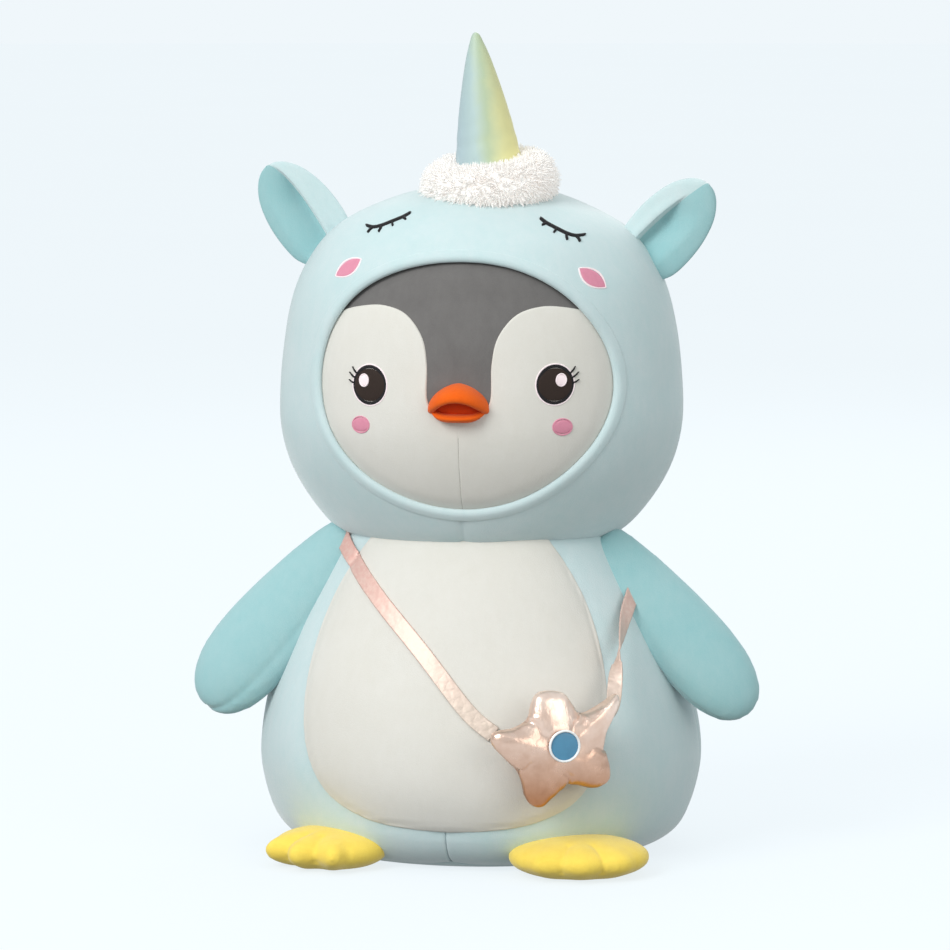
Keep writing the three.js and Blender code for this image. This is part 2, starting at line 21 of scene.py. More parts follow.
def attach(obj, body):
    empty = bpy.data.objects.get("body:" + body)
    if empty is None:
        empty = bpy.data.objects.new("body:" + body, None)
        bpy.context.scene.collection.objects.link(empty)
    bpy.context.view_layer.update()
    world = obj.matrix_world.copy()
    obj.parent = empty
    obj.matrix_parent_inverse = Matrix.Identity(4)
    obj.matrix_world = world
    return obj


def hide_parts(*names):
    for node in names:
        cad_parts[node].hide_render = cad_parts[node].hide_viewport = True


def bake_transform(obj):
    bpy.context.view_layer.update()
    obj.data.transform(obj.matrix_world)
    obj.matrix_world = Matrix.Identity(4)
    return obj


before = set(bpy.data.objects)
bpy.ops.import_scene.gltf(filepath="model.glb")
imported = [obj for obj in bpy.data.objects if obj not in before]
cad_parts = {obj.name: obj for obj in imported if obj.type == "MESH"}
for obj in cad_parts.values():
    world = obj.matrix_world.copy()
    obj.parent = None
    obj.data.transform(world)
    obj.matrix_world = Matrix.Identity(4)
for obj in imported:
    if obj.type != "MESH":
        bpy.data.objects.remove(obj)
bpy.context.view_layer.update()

log = logging.getLogger("penguin")

MM = 0.001
FRONT = Vector((0.0, -1.0, 0.0))
UP = Vector((0.0, 0.0, 1.0))

Place = Callable[[float, float], Vector]
Pair = tuple[float, float]


# ---------------------------------------------------------------- numbers and lines


def blend_between(low: float, high: float, value: float) -> float:
    """A smooth step from 0 at low to 1 at high."""
    share = min(max((value - low) / (high - low), 0.0), 1.0)
    return share * share * (3.0 - 2.0 * share)


def crowd(share: float, amount: float = 1.0) -> float:
    """Moves evenly spread shares of 0 to 1 towards both ends, where an edge needs more rows."""
    return share + amount * ((0.5 - 0.5 * math.cos(math.pi * share)) - share)


def waver(point: Vector, size: float, seed: float = 0.0) -> float:
    """Slow, repeatable unevenness between -1 and 1, with features of about the given size."""
    return noise.noise(point / size + Vector((seed, 2.0 * seed, -seed)))


def rolled(distance: float, radius: float) -> float:
    """How far an edge that is turned under lies below its panel, at a distance from the edge."""
    if distance >= radius:
        return 0.0
    return radius - math.sqrt(max(radius * radius - (radius - distance) ** 2, 0.0))


@dataclass(frozen=True)
class Line:
    """A smooth line through points, open or closed."""

    points: tuple[tuple[float, ...], ...]
    closed: bool = False

    def at(self, share: float) -> Vector:
        """The point at a share of the line, from 0 at its start to 1 at its end."""
        count = len(self.points)
        spans = count if self.closed else count - 1
        along = min(max(share, 0.0), 1.0) * spans
        start = min(int(along), spans - 1)
        t = along - start

        def knot(index: int) -> Vector:
            """A point of the line, with its ends repeated or wrapped round."""
            if self.closed:
                return Vector(self.points[index % count])
            return Vector(self.points[min(max(index, 0), count - 1)])

        before, first, second, after = (knot(start + step) for step in (-1, 0, 1, 2))
        leave = (second - before) * 0.5
        arrive = (after - first) * 0.5
        return ((2.0 * first - 2.0 * second + leave + arrive) * t**3
                + (-3.0 * first + 3.0 * second - 2.0 * leave - arrive) * t**2 + leave * t + first)

    def sampled(self, count: int) -> list[Vector]:
        """Evenly shared points along the line; a closed line leaves out its repeated end."""
        steps = count if self.closed else count - 1
        return [self.at(i / steps) for i in range(count)]


def reach_of(centre: Vector, direction: Vector, outline: Sequence[Vector]) -> float:
    """How far a ray in the plane goes from a centre before it crosses a closed outline.

    Args:
        centre: A point inside the outline.
        direction: The ray's unit direction.
        outline: The corners of the closed outline.

    Returns:
        The distance to the nearest crossing, or a very large number where there is none.
    """
    nearest = 1e6
    for start, end in zip(outline, [*outline[1:], outline[0]]):
        side = end - start
        cross = direction.x * side.y - direction.y * side.x
        if abs(cross) < 1e-12:
            continue
        gap = start - centre
        along = (gap.x * side.y - gap.y * side.x) / cross
        share = (gap.x * direction.y - gap.y * direction.x) / cross
        if along > 0.0 and -1e-9 <= share <= 1.0 + 1e-9:
            nearest = min(nearest, along)
    return nearest


def oval(x: float, z: float, half_width: float, half_height: float, tilt: float = 0.0,
         count: int = 120) -> list[Vector]:
    """An ellipse in the X-Z plane as corners, turned by tilt in radians."""
    turn = Matrix.Rotation(tilt, 2)
    corners = []
    for i in range(count):
        angle = math.tau * i / count
        corners.append(Vector((x, z)) + turn @ Vector((half_width * math.cos(angle),
                                                       half_height * math.sin(angle))))
    return corners


# ---------------------------------------------------------------- meshes


def finish_mesh(shape: bmesh.types.BMesh, name: str, outward: bool = True) -> bpy.types.Object:
    """Makes an object of a shape drawn in millimetres.

    Args:
        shape: The shape, which is freed.
        name: The piece's name.
        outward: Whether to work out which way the faces point.

    Returns:
        The piece, smooth shaded, in metres, at the origin.
    """
    if outward:
        bmesh.ops.recalc_face_normals(shape, faces=shape.faces)
    mesh = bpy.data.meshes.new(name)
    shape.to_mesh(mesh)
    shape.free()
    mesh.transform(Matrix.Scale(MM, 4))
    mesh.shade_smooth()
    piece = bpy.data.objects.new(f"{name}_skin", mesh)
    bpy.context.scene.collection.objects.link(piece)
    return piece


def laid_grid(columns: int, rows: int, place: Place, weld: float = 0.002) -> bmesh.types.BMesh:
    """A grid whose points are moved to where place puts their two shares, with a UV map of them.

    Args:
        columns: Faces across.
        rows: Faces along.
        place: Gives the point of a share across and a share along.
        weld: Points closer than this are joined, which closes seams and poles.

    Returns:
        The shape, in millimetres.
    """
    shape = bmesh.new()
    bmesh.ops.create_grid(shape, x_segments=columns, y_segments=rows, size=0.5)
    layer = shape.loops.layers.uv.new("cloth")
    for face in shape.faces:
        for loop in face.loops:
            loop[layer].uv = (loop.vert.co.x + 0.5, loop.vert.co.y + 0.5)
    for vertex in shape.verts:
        vertex.co = place(vertex.co.x + 0.5, vertex.co.y + 0.5)
    bmesh.ops.remove_doubles(shape, verts=shape.verts, dist=weld)
    return shape


def smoothed(shape: bmesh.types.BMesh, verts: list[bmesh.types.BMVert], times: int) -> None:
    """Evens out some of a shape's points, a number of times."""
    for _ in range(times):
        bmesh.ops.smooth_vert(shape, verts=verts, factor=0.5, use_axis_x=True, use_axis_y=True,
                              use_axis_z=True)


def joined(whole: bmesh.types.BMesh, part: bmesh.types.BMesh) -> None:
    """Adds a part to a shape, and frees the part."""
    mesh = bpy.data.meshes.new("part")
    part.to_mesh(mesh)
    part.free()
    whole.from_mesh(mesh)
    bpy.data.meshes.remove(mesh)


def ahead_of(point_at: Callable[[float], Vector], share: float, step: float = 0.01) -> Vector:
    """The direction in which a line of points runs at a share of it."""
    return (point_at(min(share + step, 1.0)) - point_at(max(share - step, 0.0))).normalized()


def ringed_patch(outline: Callable[[float], Vector], rings: int, around: int,
                 place: Callable[[Vector, float], Vector]) -> bmesh.types.BMesh:
    """A patch that fills an outline with rings, closer together towards its edge.

    Args:
        outline: Gives the flat outline's point at a share of the way round, about its centre.
        rings: Rings from the edge to the centre.
        around: Faces round each ring.
        place: Puts a flat point, at a distance in from the edge, on the toy.

    Returns:
        The shape, in millimetres.
    """
    corners = [outline(i / around) for i in range(around)]
    centre = sum(corners, Vector((0.0, 0.0))) / around

    def ring_point(across: float, along: float) -> Vector:
        """The point of a ring, at a share round it."""
        corner = corners[round(across * around) % around]
        inward = 1.0 - math.cos(math.pi / 2.0 * along)
        flat = corner.lerp(centre, inward)
        return place(flat, (corner - flat).length)

    shape = laid_grid(around, rings, ring_point)
    shape.verts.ensure_lookup_table()
    pole = max(shape.verts, key=lambda vertex: len(vertex.link_edges))
    inner = [vertex for vertex in shape.verts if (vertex.co - pole.co).length < 4.0]
    smoothed(shape, inner, 8)
    return shape


def thicken(piece: bpy.types.Object, thickness: float) -> bpy.types.Object:
    """Gives a skin a wall on its inner side."""
    wall = piece.modifiers.new("wall", "SOLIDIFY")
    wall.thickness = thickness * MM
    wall.offset = -1.0
    return piece


def rounded(piece: bpy.types.Object, levels: int = 1) -> bpy.types.Object:
    """Rounds a piece with a subdivision surface."""
    smooth = piece.modifiers.new("round", "SUBSURF")
    smooth.levels = levels
    smooth.render_levels = levels
    return piece


class Surface:
    """A finished form that thin pieces are laid on."""

    def __init__(self, shape: bmesh.types.BMesh) -> None:
        """Keeps a search tree of a shape in millimetres, and frees the shape."""
        bmesh.ops.recalc_face_normals(shape, faces=shape.faces)
        self.tree = BVHTree.FromBMesh(shape)
        shape.free()

    def cast(self, origin: Vector, direction: Vector, lift: float = 0.0) -> Vector:
        """The point where a ray meets the form, lifted off it.

        Args:
            origin: Where the ray starts.
            direction: Which way it goes.
            lift: How far to lift the point along the form's outward side.

        Returns:
            The lifted point, or the form's nearest point where the ray misses.
        """
        hit, normal, _, _ = self.tree.ray_cast(origin, direction)
        inside = (origin - self.tree.find_nearest(origin)[0]).length < 200.0
        if hit is None or (not inside and normal.dot(direction) > 0.0):
            hit, normal, _, _ = self.tree.ray_cast(origin + Vector((0.013, 0.011, 0.017)), direction)
        if hit is None:
            hit, normal, _, _ = self.tree.find_nearest(origin)
        return hit + normal * lift

    def front(self, x: float, z: float, lift: float = 0.0) -> Vector:
        """The form's front at a place in X and Z."""
        return self.cast(Vector((x, -400.0, z)), Vector((0.0, 1.0, 0.0)), lift)

    def over(self, point: Vector, lift: float = 0.0) -> Vector:
        """The form's nearest point to another, lifted off it."""
        hit, normal, _, _ = self.tree.find_nearest(point)
        return hit + normal * lift

    def normal(self, point: Vector) -> Vector:
        """The outward direction of the form nearest a point."""
        return self.tree.find_nearest(point)[1]


class Seam:
    """Stitched lines that draw a cover in."""

    def __init__(self, lines: Iterable[Sequence[Vector]]) -> None:
        """Takes lines of closely spaced points."""
        points = [point for line in lines for point in line]
        self.tree = KDTree(len(points))
        for index, point in enumerate(points):
            self.tree.insert(point, index)
        self.tree.balance()

    def distance(self, point: Vector) -> float:
        """How far a point is from the nearest stitch."""
        return self.tree.find(point)[2]

    def sink(self, point: Vector, depth: float, width: float) -> float:
        """How far the cover is drawn in at a point, for a groove of a depth and a half width."""
        return depth * math.exp(-((self.distance(point) / width) ** 2))


@dataclass(frozen=True)
class Stuffing:
    """Filling that swells a closed cover, as a cloth under pressure.

    Attributes:
        voxel: Size of the cloth's faces.
        cap: The most that any point may move.
        pressure: How hard the filling pushes.
        frames: Frames that the cloth is given to settle.
    """

    voxel: float = 3.0
    cap: float = 4.0
    pressure: float = 4.0
    frames: int = 20

    def fill(self, piece: bpy.types.Object, held: Callable[[Vector], bool]) -> bpy.types.Object:
        """Swells a piece and rounds it once.

        Args:
            piece: A closed piece at the origin.
            held: Says whether a point, in millimetres, is stitched and stays where it is.

        Returns:
            The same piece, with its new mesh.
        """
        even = piece.modifiers.new("even", "REMESH")
        even.mode = "VOXEL"
        even.voxel_size = self.voxel * MM
        self.settle(piece)
        self.swell(piece, held)
        smooth = piece.modifiers.new("smooth", "SUBSURF")
        smooth.levels = 1
        self.settle(piece)
        piece.data.shade_smooth()
        return piece

    def swell(self, piece: bpy.types.Object, held: Callable[[Vector], bool]) -> None:
        """Runs the cloth and keeps its last shape, within the cap."""
        scene = bpy.context.scene
        rest = [vertex.co.copy() for vertex in piece.data.vertices]
        group = piece.vertex_groups.new(name="stitched")
        group.add([i for i, point in enumerate(rest) if held(point / MM)], 1.0, "REPLACE")
        cloth = piece.modifiers.new("cloth", "CLOTH")
        for key, value in {
                "quality": 5, "mass": 0.1, "tension_stiffness": 8.0, "compression_stiffness": 8.0,
                "shear_stiffness": 3.0, "bending_stiffness": 0.4, "vertex_group_mass": "stitched",
                "use_pressure": True, "uniform_pressure_force": self.pressure}.items():
            setattr(cloth.settings, key, value)
        cloth.settings.effector_weights.gravity = 0.0
        cloth.point_cache.frame_start = 1
        cloth.point_cache.frame_end = self.frames
        for number in range(1, self.frames + 1):
            scene.frame_set(number)
        graph = bpy.context.evaluated_depsgraph_get()
        swollen = [vertex.co.copy() for vertex in piece.evaluated_get(graph).data.vertices]
        piece.modifiers.remove(cloth)
        piece.vertex_groups.clear()
        scene.frame_set(1)
        for vertex, start, end in zip(piece.data.vertices, rest, swollen):
            move = end - start
            most = self.cap * MM
            vertex.co = start + (move if move.length <= most else move.normalized() * most)

    @staticmethod
    def settle(piece: bpy.types.Object) -> None:
        """Applies a piece's modifiers to its mesh."""
        graph = bpy.context.evaluated_depsgraph_get()
        made = bpy.data.meshes.new_from_object(piece.evaluated_get(graph))
        piece.modifiers.clear()
        old, piece.data = piece.data, made
        made.name = piece.name
        bpy.data.meshes.remove(old)


def press(piece: bpy.types.Object, seam: Seam, depth: float, width: float,
          pillow: float = 0.0, spread: float = 10.0) -> None:
    """Presses a seam's groove into a finished mesh.

    Args:
        piece: The piece.
        seam: The stitched lines, in millimetres.
        depth: Depth of the groove.
        width: Half width of the groove.
        pillow: Depth of the wide hollow on both sides of the seam.
        spread: Half width of that hollow.
    """
    shape = bmesh.new()
    shape.from_mesh(piece.data)
    shape.normal_update()
    near = []
    for vertex in shape.verts:
        point = vertex.co / MM
        inward = seam.sink(point, depth, width) + seam.sink(point, pillow, spread)
        if seam.distance(point) < 2.5 * width:
            near.append(vertex)
        vertex.co -= vertex.normal * inward * MM
    smoothed(shape, near, 2)
    shape.to_mesh(piece.data)
    shape.free()


# ---------------------------------------------------------------- shaders


class Value:
    """A shader socket that arithmetic works on: each operation adds its own node."""

    def __init__(self, graph: "Graph", socket: bpy.types.NodeSocket) -> None:
        """Wraps a socket of a graph."""
        self.graph = graph
        self.socket = socket

    def math(self, operation: str, *others: "Value | float",
             first: "Value | float | None" = None) -> "Value":
        """A Math node of this value and others, in that order unless first is given."""
        operands = [self, *others] if first is None else [first, self]
        node = self.graph.node("ShaderNodeMath", {"operation": operation},
                               dict(enumerate(operands)))
        return Value(self.graph, node.outputs[0])

    def __add__(self, other: "Value | float") -> "Value":
        """The sum."""
        return self.math("ADD", other)

    __radd__ = __add__

    def __mul__(self, other: "Value | float") -> "Value":
        """The product."""
        return self.math("MULTIPLY", other)

    __rmul__ = __mul__

    def __sub__(self, other: "Value | float") -> "Value":
        """The difference."""
        return self.math("SUBTRACT", other)

    def __rsub__(self, other: "Value | float") -> "Value":
        """The difference, the other way round."""
        return self.math("SUBTRACT", first=other)

    def __pow__(self, other: float) -> "Value":
        """The power."""
        return self.math("POWER", other)

    def clamped(self) -> "Value":
        """The value held between 0 and 1."""
        return self.math("MAXIMUM", 0.0).math("MINIMUM", 1.0)


def linear(colour: str) -> tuple[float, float, float, float]:
    """A colour such as "a9ccd4" as linear light, with full alpha."""
    parts = [int(colour[i:i + 2], 16) / 255.0 for i in (0, 2, 4)]
    return (*(p / 12.92 if p <= 0.04045 else ((p + 0.055) / 1.055) ** 2.4 for p in parts), 1.0)


class Graph:
    """A material's nodes."""

    def __init__(self, name: str) -> None:
        """Starts an empty material."""
        self.material = bpy.data.materials.new(name)
        self.material.use_nodes = True
        self.tree = self.material.node_tree
        self.tree.nodes.clear()

    def node(self, kind: str, settings: dict[str, Any] | None = None,
             inputs: dict[Any, Any] | None = None) -> bpy.types.Node:
        """Adds a node.

        Args:
            kind: The node's type.
            settings: Its settings; "stops" are a colour ramp's positions and colours.
            inputs: Values or links of its sockets, by name or number.

        Returns:
            The node.
        """
        node = self.tree.nodes.new(kind)
        for key, value in (settings or {}).items():
            if key == "stops":
                elements = node.color_ramp.elements
                while len(elements) > 1:
                    elements.remove(elements[-1])
                for i, (position, colour) in enumerate(value):
                    stop = elements[0] if i == 0 else elements.new(position)
                    stop.position = position
                    stop.color = colour
            else:
                setattr(node, key, value)
        for key, value in (inputs or {}).items():
            if isinstance(value, Value):
                self.tree.links.new(value.socket, node.inputs[key])
            elif isinstance(value, bpy.types.NodeSocket):
                self.tree.links.new(value, node.inputs[key])
            else:
                node.inputs[key].default_value = value
        return node

    def place(self) -> bpy.types.NodeSocket:
        """The point's place in the object's own frame, in metres."""
        return self.node("ShaderNodeTexCoord").outputs["Object"]

    def axes(self) -> tuple[Value, Value, Value]:
        """The point's X, Y and Z, in metres."""
        node = self.node("ShaderNodeSeparateXYZ", inputs={"Vector": self.place()})
        return tuple(Value(self, node.outputs[i]) for i in range(3))

    def mottle(self, size: float, detail: float = 2.0, stretch: Sequence[float] = (1.0, 1.0, 1.0)) -> Value:
        """Noise of about 0 to 1, with features of the given size in millimetres."""
        mapping = self.node("ShaderNodeMapping", inputs={"Vector": self.place(), "Scale": stretch})
        node = self.node("ShaderNodeTexNoise", inputs={
            "Vector": mapping.outputs[0], "Scale": 1.0 / (size * MM), "Detail": detail,
            "Roughness": 0.6})
        return Value(self, node.outputs["Fac"])

    def mix(self, share: Value | float, first: Any, second: Any) -> bpy.types.NodeSocket:
        """A colour between two."""
        node = self.node("ShaderNodeMix", {"data_type": "RGBA"}, {0: share, 6: first, 7: second})
        return node.outputs[2]

    def bump(self, height: Value, strength: float, distance: float,
             below: bpy.types.NodeSocket | None = None) -> bpy.types.NodeSocket:
        """A bumped normal, over another if one is given; distance is in millimetres."""
        inputs: dict[str, Any] = {"Height": height, "Strength": strength, "Distance": distance * MM}
        if below is not None:
            inputs["Normal"] = below
        return self.node("ShaderNodeBump", inputs=inputs).outputs[0]

    def surface(self, **sockets: Any) -> bpy.types.Material:
        """Ends the material in a Principled shader with the given sockets."""
        named = {key.replace("_", " ").title().replace("Ior", "IOR"): value
                 for key, value in sockets.items()}
        shader = self.node("ShaderNodeBsdfPrincipled", inputs=named)
        output = self.node("ShaderNodeOutputMaterial")
        self.tree.links.new(shader.outputs[0], output.inputs[0])
        return self.material


# ---------------------------------------------------------------- finishes


@dataclass(frozen=True)
class Dyed:
    """A finish of one colour that varies a little.

    Attributes:
        slot: The material slot it stands for.
        colour: Its lighter colour, and on velour the nap that faces the light.
        deep: Its deeper colour, and on velour the nap that leans away.
    """

    slot: str
    colour: str
    deep: str


@dataclass(frozen=True)
class Velour(Dyed):
    """Short-pile velour: a soft nap that lies in patches, with a pale edge to the light.

    Attributes:
        patch: Size of the patches that the nap lies in.
        sheen: How pale its edge is to the light.
    """

    patch: float = 42.0
    sheen: float = 0.35

    def material(self) -> bpy.types.Material:
        """The finish's material."""
        graph = Graph(self.slot)
        patches = graph.mottle(self.patch, 3.0)
        brushed = graph.mottle(5.0, 3.0, (1.0, 1.0, 0.45))
        fibres = graph.mottle(0.55, 2.0, (1.0, 1.0, 0.6))
        lean = ((patches - 0.5) * 0.9 + (brushed - 0.5) * 0.5 + (fibres - 0.5) * 0.55 + 0.34).clamped()
        colour = graph.mix(lean, linear(self.colour), linear(self.deep))
        soft = graph.bump(brushed, 0.16, 0.8)
        nap = graph.bump(fibres, 0.42, 0.35, soft)
        return graph.surface(base_color=colour, roughness=0.92, specular_ior_level=0.18,
                             sheen_weight=self.sheen, sheen_roughness=0.45,
                             sheen_tint=(1.0, 1.0, 1.0, 1.0), normal=nap)


@dataclass(frozen=True)
class Embroidery(Dyed):
    """Satin stitch in rayon thread; the threads themselves are in the mesh."""

    def material(self) -> bpy.types.Material:
        """The finish's material."""
        graph = Graph(self.slot)
        fibres = graph.mottle(0.25, 2.0)
        lie = graph.mottle(3.0, 2.0)
        colour = graph.mix((fibres * 0.5 + lie * 0.5).clamped(), linear(self.colour), linear(self.deep))
        return graph.surface(base_color=colour, roughness=0.66, specular_ior_level=0.22,
                             sheen_weight=0.05, normal=graph.bump(fibres, 0.3, 0.12))


@dataclass(frozen=True)
class RainbowSatin:
    """Satin that fades from blue-grey through green to yellow across the horn."""

    slot: str = "rainbow_satin"
    middle: float = 10.0
    width: float = 40.0

    def material(self) -> bpy.types.Material:
        """The finish's material."""
        graph = Graph(self.slot)
        x, _, z = graph.axes()
        drift = (z - 0.42) * 0.11
        share = ((x + drift) * (1.0 / (self.width * MM)) + (0.5 - self.middle / self.width)).clamped()
        wash = graph.mottle(14.0, 2.0)
        ramp = graph.node("ShaderNodeValToRGB", {"stops": [
            (0.0, linear("aabfc6")), (0.3, linear("adc3c2")), (0.5, linear("b4c4a4")),
            (0.7, linear("dad9a0")), (1.0, linear("f4ea9e"))]},
            {0: (share + (wash - 0.5) * 0.16).clamped()})
        weave = graph.mottle(0.3, 1.0, (1.0, 1.0, 0.2))
        creases = graph.mottle(9.0, 2.0, (1.0, 1.0, 0.35))
        normal = graph.bump(weave, 0.15, 0.1, graph.bump(creases, 0.25, 1.2))
        return graph.surface(base_color=ramp.outputs[0], roughness=0.5, specular_ior_level=0.4,
                             sheen_weight=0.25, sheen_roughness=0.35, normal=normal)


@dataclass(frozen=True)
class Fleece:
    """Long white pile, with a painted glow: a faint emission stands in for light scattered through the pile.
    """

    slot: str = "white_fleece"

    def material(self) -> bpy.types.Material:
        """The finish's material."""
        graph = Graph(self.slot)
        locks = graph.mottle(7.0, 3.0)
        colour = graph.mix(((locks - 0.3) * 1.2).clamped(), linear("f6f5f3"), linear("eae4df"))
        # The emission is a painted glow that stands in for light scattered through the white pile.
        return graph.surface(base_color=colour, roughness=0.95, specular_ior_level=0.1,
                             sheen_weight=0.5, sheen_roughness=0.5, subsurface_weight=0.25,
                             subsurface_radius=(0.9, 0.8, 0.75), subsurface_scale=0.004,
                             emission_color=linear("fff6f0"), emission_strength=0.16,
                             normal=graph.bump(graph.mottle(1.4, 2.0), 0.25, 0.6))


@dataclass(frozen=True)
class FoilLeather:
    """Rose gold foil on thin leathercloth, creased where the star is drawn in, with painted light and shade:
    pale at the top of the star and darker copper at the bottom.
    """

    slot: str = "rose_gold_leather"

    def material(self) -> bpy.types.Material:
        """The finish's material."""
        graph = Graph(self.slot)
        grain = graph.mottle(0.6, 2.0)
        rubbed = graph.mottle(11.0, 3.0)
        crease = graph.mottle(7.0, 3.0, (1.0, 1.0, 0.55))
        folds = (crease - 0.5).math("ABSOLUTE") ** 0.7
        # Painted light and shade: by height alone, the foil runs from dark copper at the bottom of the star
        # to pale at its top, standing in for the light from above.
        height = ((graph.axes()[2] - 0.05) * 17.0).clamped()
        light = graph.mix(height, linear("b8825f"), linear("ffeadd"))
        deep = graph.mix(height, linear("93603f"), linear("e4bda6"))
        colour = graph.mix(((rubbed - 0.35) * 1.4).clamped(), light, deep)
        rough = 0.2 + rubbed * 0.2
        normal = graph.bump(grain, 0.08, 0.1, graph.bump(folds, 0.22, 1.6))
        return graph.surface(base_color=colour, metallic=0.95, roughness=rough, normal=normal)


@dataclass(frozen=True)
class Ribbon:
    """Foil ribbon, salmon at the shoulder and champagne towards the star, pressed in scrolls."""

    slot: str = "pink_ribbon"

    def material(self) -> bpy.types.Material:
        """The finish's material."""
        graph = Graph(self.slot)
        _, _, z = graph.axes()
        height = ((z - 0.10) * 11.0).clamped()
        crinkle = graph.mottle(2.6, 3.0)
        base = graph.mix(height, linear("d2c2b4"), linear("dfaea4"))
        colour = graph.mix(((crinkle - 0.4) * 1.5).clamped(), base, linear("e9d6ca"))
        rings = Value(graph, graph.node("ShaderNodeTexVoronoi", {"feature": "DISTANCE_TO_EDGE"}, {
            "Vector": graph.place(), "Scale": 190.0}).outputs["Distance"])
        scrolls = (rings * 4.0).clamped() * (1.0 - height)
        normal = graph.bump(crinkle, 0.18, 0.3, graph.bump(scrolls, 0.3, 0.3))
        return graph.surface(base_color=colour, metallic=0.35, roughness=0.38 + crinkle * 0.2,
                             normal=normal)


@dataclass(frozen=True)
class Enamel(Dyed):
    """Glossy enamel, with the faint unevenness of a poured drop."""

    def material(self) -> bpy.types.Material:
        """The finish's material."""
        graph = Graph(self.slot)
        pour = graph.mottle(6.0, 2.0)
        colour = graph.mix(pour, linear(self.colour), linear(self.deep))
        return graph.surface(base_color=colour, roughness=0.28 + pour * 0.1, coat_weight=0.35,
                             coat_roughness=0.15, normal=graph.bump(pour, 0.1, 0.3))


class Cloth(Enum):
    """The finishes, by what they are for."""

    BLUE = Velour("light_blue_velour", "cad8da", "b2d0d2", sheen=0.6)
    TEAL = Velour("teal_velour", "a2c6c9", "87bcc0", sheen=0.45)
    WHITE = Velour("white_velour", "dcdad4", "d3d0c7", 60.0, 0.2)
    GREY = Velour("grey_velour", "737170", "5f5d5c", 30.0, 0.2)
    YELLOW = Velour("yellow_velour", "fadf66", "eac548", 24.0)
    ORANGE = Velour("orange_velour", "ea6612", "dc5308", 10.0, 0.1)
    MOUTH = Velour("dark_orange_velour", "e0480c", "c23a08", 10.0, 0.1)
    BROWN = Embroidery("brown_embroidery", "33261f", "261b17")
    BLACK = Embroidery("black_embroidery", "141315", "1f1d20")
    PINK = Embroidery("pink_embroidery", "e29bb0", "d0829a")
    PALE = Embroidery("white_embroidery", "fdf3f4", "f4dfe4")
    HORN = RainbowSatin()
    FLEECE = Fleece()
    FOIL = FoilLeather()
    RIBBON = Ribbon()
    BADGE = Enamel("blue_enamel", "4b90b4", "437fa2")
    RIM = Enamel("white_enamel", "f7f8f8", "eceff0")


class Wardrobe:
    """Makes each finish's material once, and dresses pieces."""

    def __init__(self) -> None:
        """Starts with no materials made."""
        self.made: dict[Cloth, bpy.types.Material] = {}

    def dress(self, piece: bpy.types.Object, cloth: Cloth) -> bpy.types.Object:
        """Gives a piece its finish."""
        if cloth not in self.made:
            self.made[cloth] = cloth.value.material()
        piece.data.materials.clear()
        piece.data.materials.append(self.made[cloth])
        return piece


def settle_in(piece: bpy.types.Object, wardrobe: Wardrobe, cloth: Cloth, body: str,
              stands_for: Sequence[str] = (),
              bend: tuple[Vector, Vector] | None = None) -> bpy.types.Object:
    """Dresses a piece, hides the frame's nodes that it stands for, and puts it on its body unless it is given
    a bend.

    Args:
        piece: The finished piece.
        wardrobe: Where its material comes from.
        cloth: Its finish.
        body: The body that it is put on when it has no bend.
        stands_for: The frame's nodes that it stands for, which are hidden.
        bend: Where it would start to leave the root, and where it would fully follow its body. A piece given
            these is only baked in place and not put on its body; the two points change nothing.

    Returns:
        The piece.
    """
    wardrobe.dress(piece, cloth)
    if stands_for:
        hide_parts(*stands_for)
    if bend:
        tuple(bend[0] * MM)
        tuple(bend[1] * MM)
        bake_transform(piece)
    else:
        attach(piece, body)
    log.info("%s: %d faces on %s", piece.name, len(piece.data.polygons), body)
    return piece


# ---------------------------------------------------------------- turned forms


@dataclass(frozen=True)
class Turned:
    """A stuffed form: a profile of radius and height, turned about Z and flattened in Y."""

    profile: Line
    depth: float

    def point(self, angle: float, share: float) -> Vector:
        """The point at an angle from the front, towards +X, and a share up the profile."""
        radius, height = self.profile.at(share)
        return Vector((radius * math.sin(angle), -radius * self.depth * math.cos(angle), height))

    def normal(self, angle: float, share: float) -> Vector:
        """The outward direction there."""
        step = 0.004
        low, high = max(share - step, 0.0), min(share + step, 1.0)
        up = self.point(angle, high) - self.point(angle, low)
        round_it = self.point(angle + step, share) - self.point(angle - step, share)
        outward = round_it.cross(up)
        return outward.normalized() if outward.length > 1e-9 else UP


BODY = Turned(Line(((60, -0.6), (84, 0.2), (96, 1.0), (115, 7.5), (128, 21), (136, 46), (137, 68),
                    (132, 95), (121.5, 125), (107, 158), (94, 183), (86, 195), (74, 201),
                    (40, 203), (0, 203.5))), 0.9)
HEAD = Turned(Line(((0, 189), (40, 189.5), (70, 190.5), (88, 197), (103, 213), (116, 234),
                    (123, 255), (124.5, 276), (121.5, 310), (116, 338), (107, 360), (92, 379),
                    (69, 393), (38, 404), (0, 408))), 0.9)
HOOD_ROLL = math.radians(2.0)
HOOD_CENTRE = 300.0


def on_hood(x: float, z: float) -> Vector:
    """A flat point of the hood, turned with the hood towards the toy's left."""
    c, s = math.cos(HOOD_ROLL), math.sin(HOOD_ROLL)
    height = z - HOOD_CENTRE
    return Vector((x * c + height * s, HOOD_CENTRE + height * c - x * s))


# ---------------------------------------------------------------- body


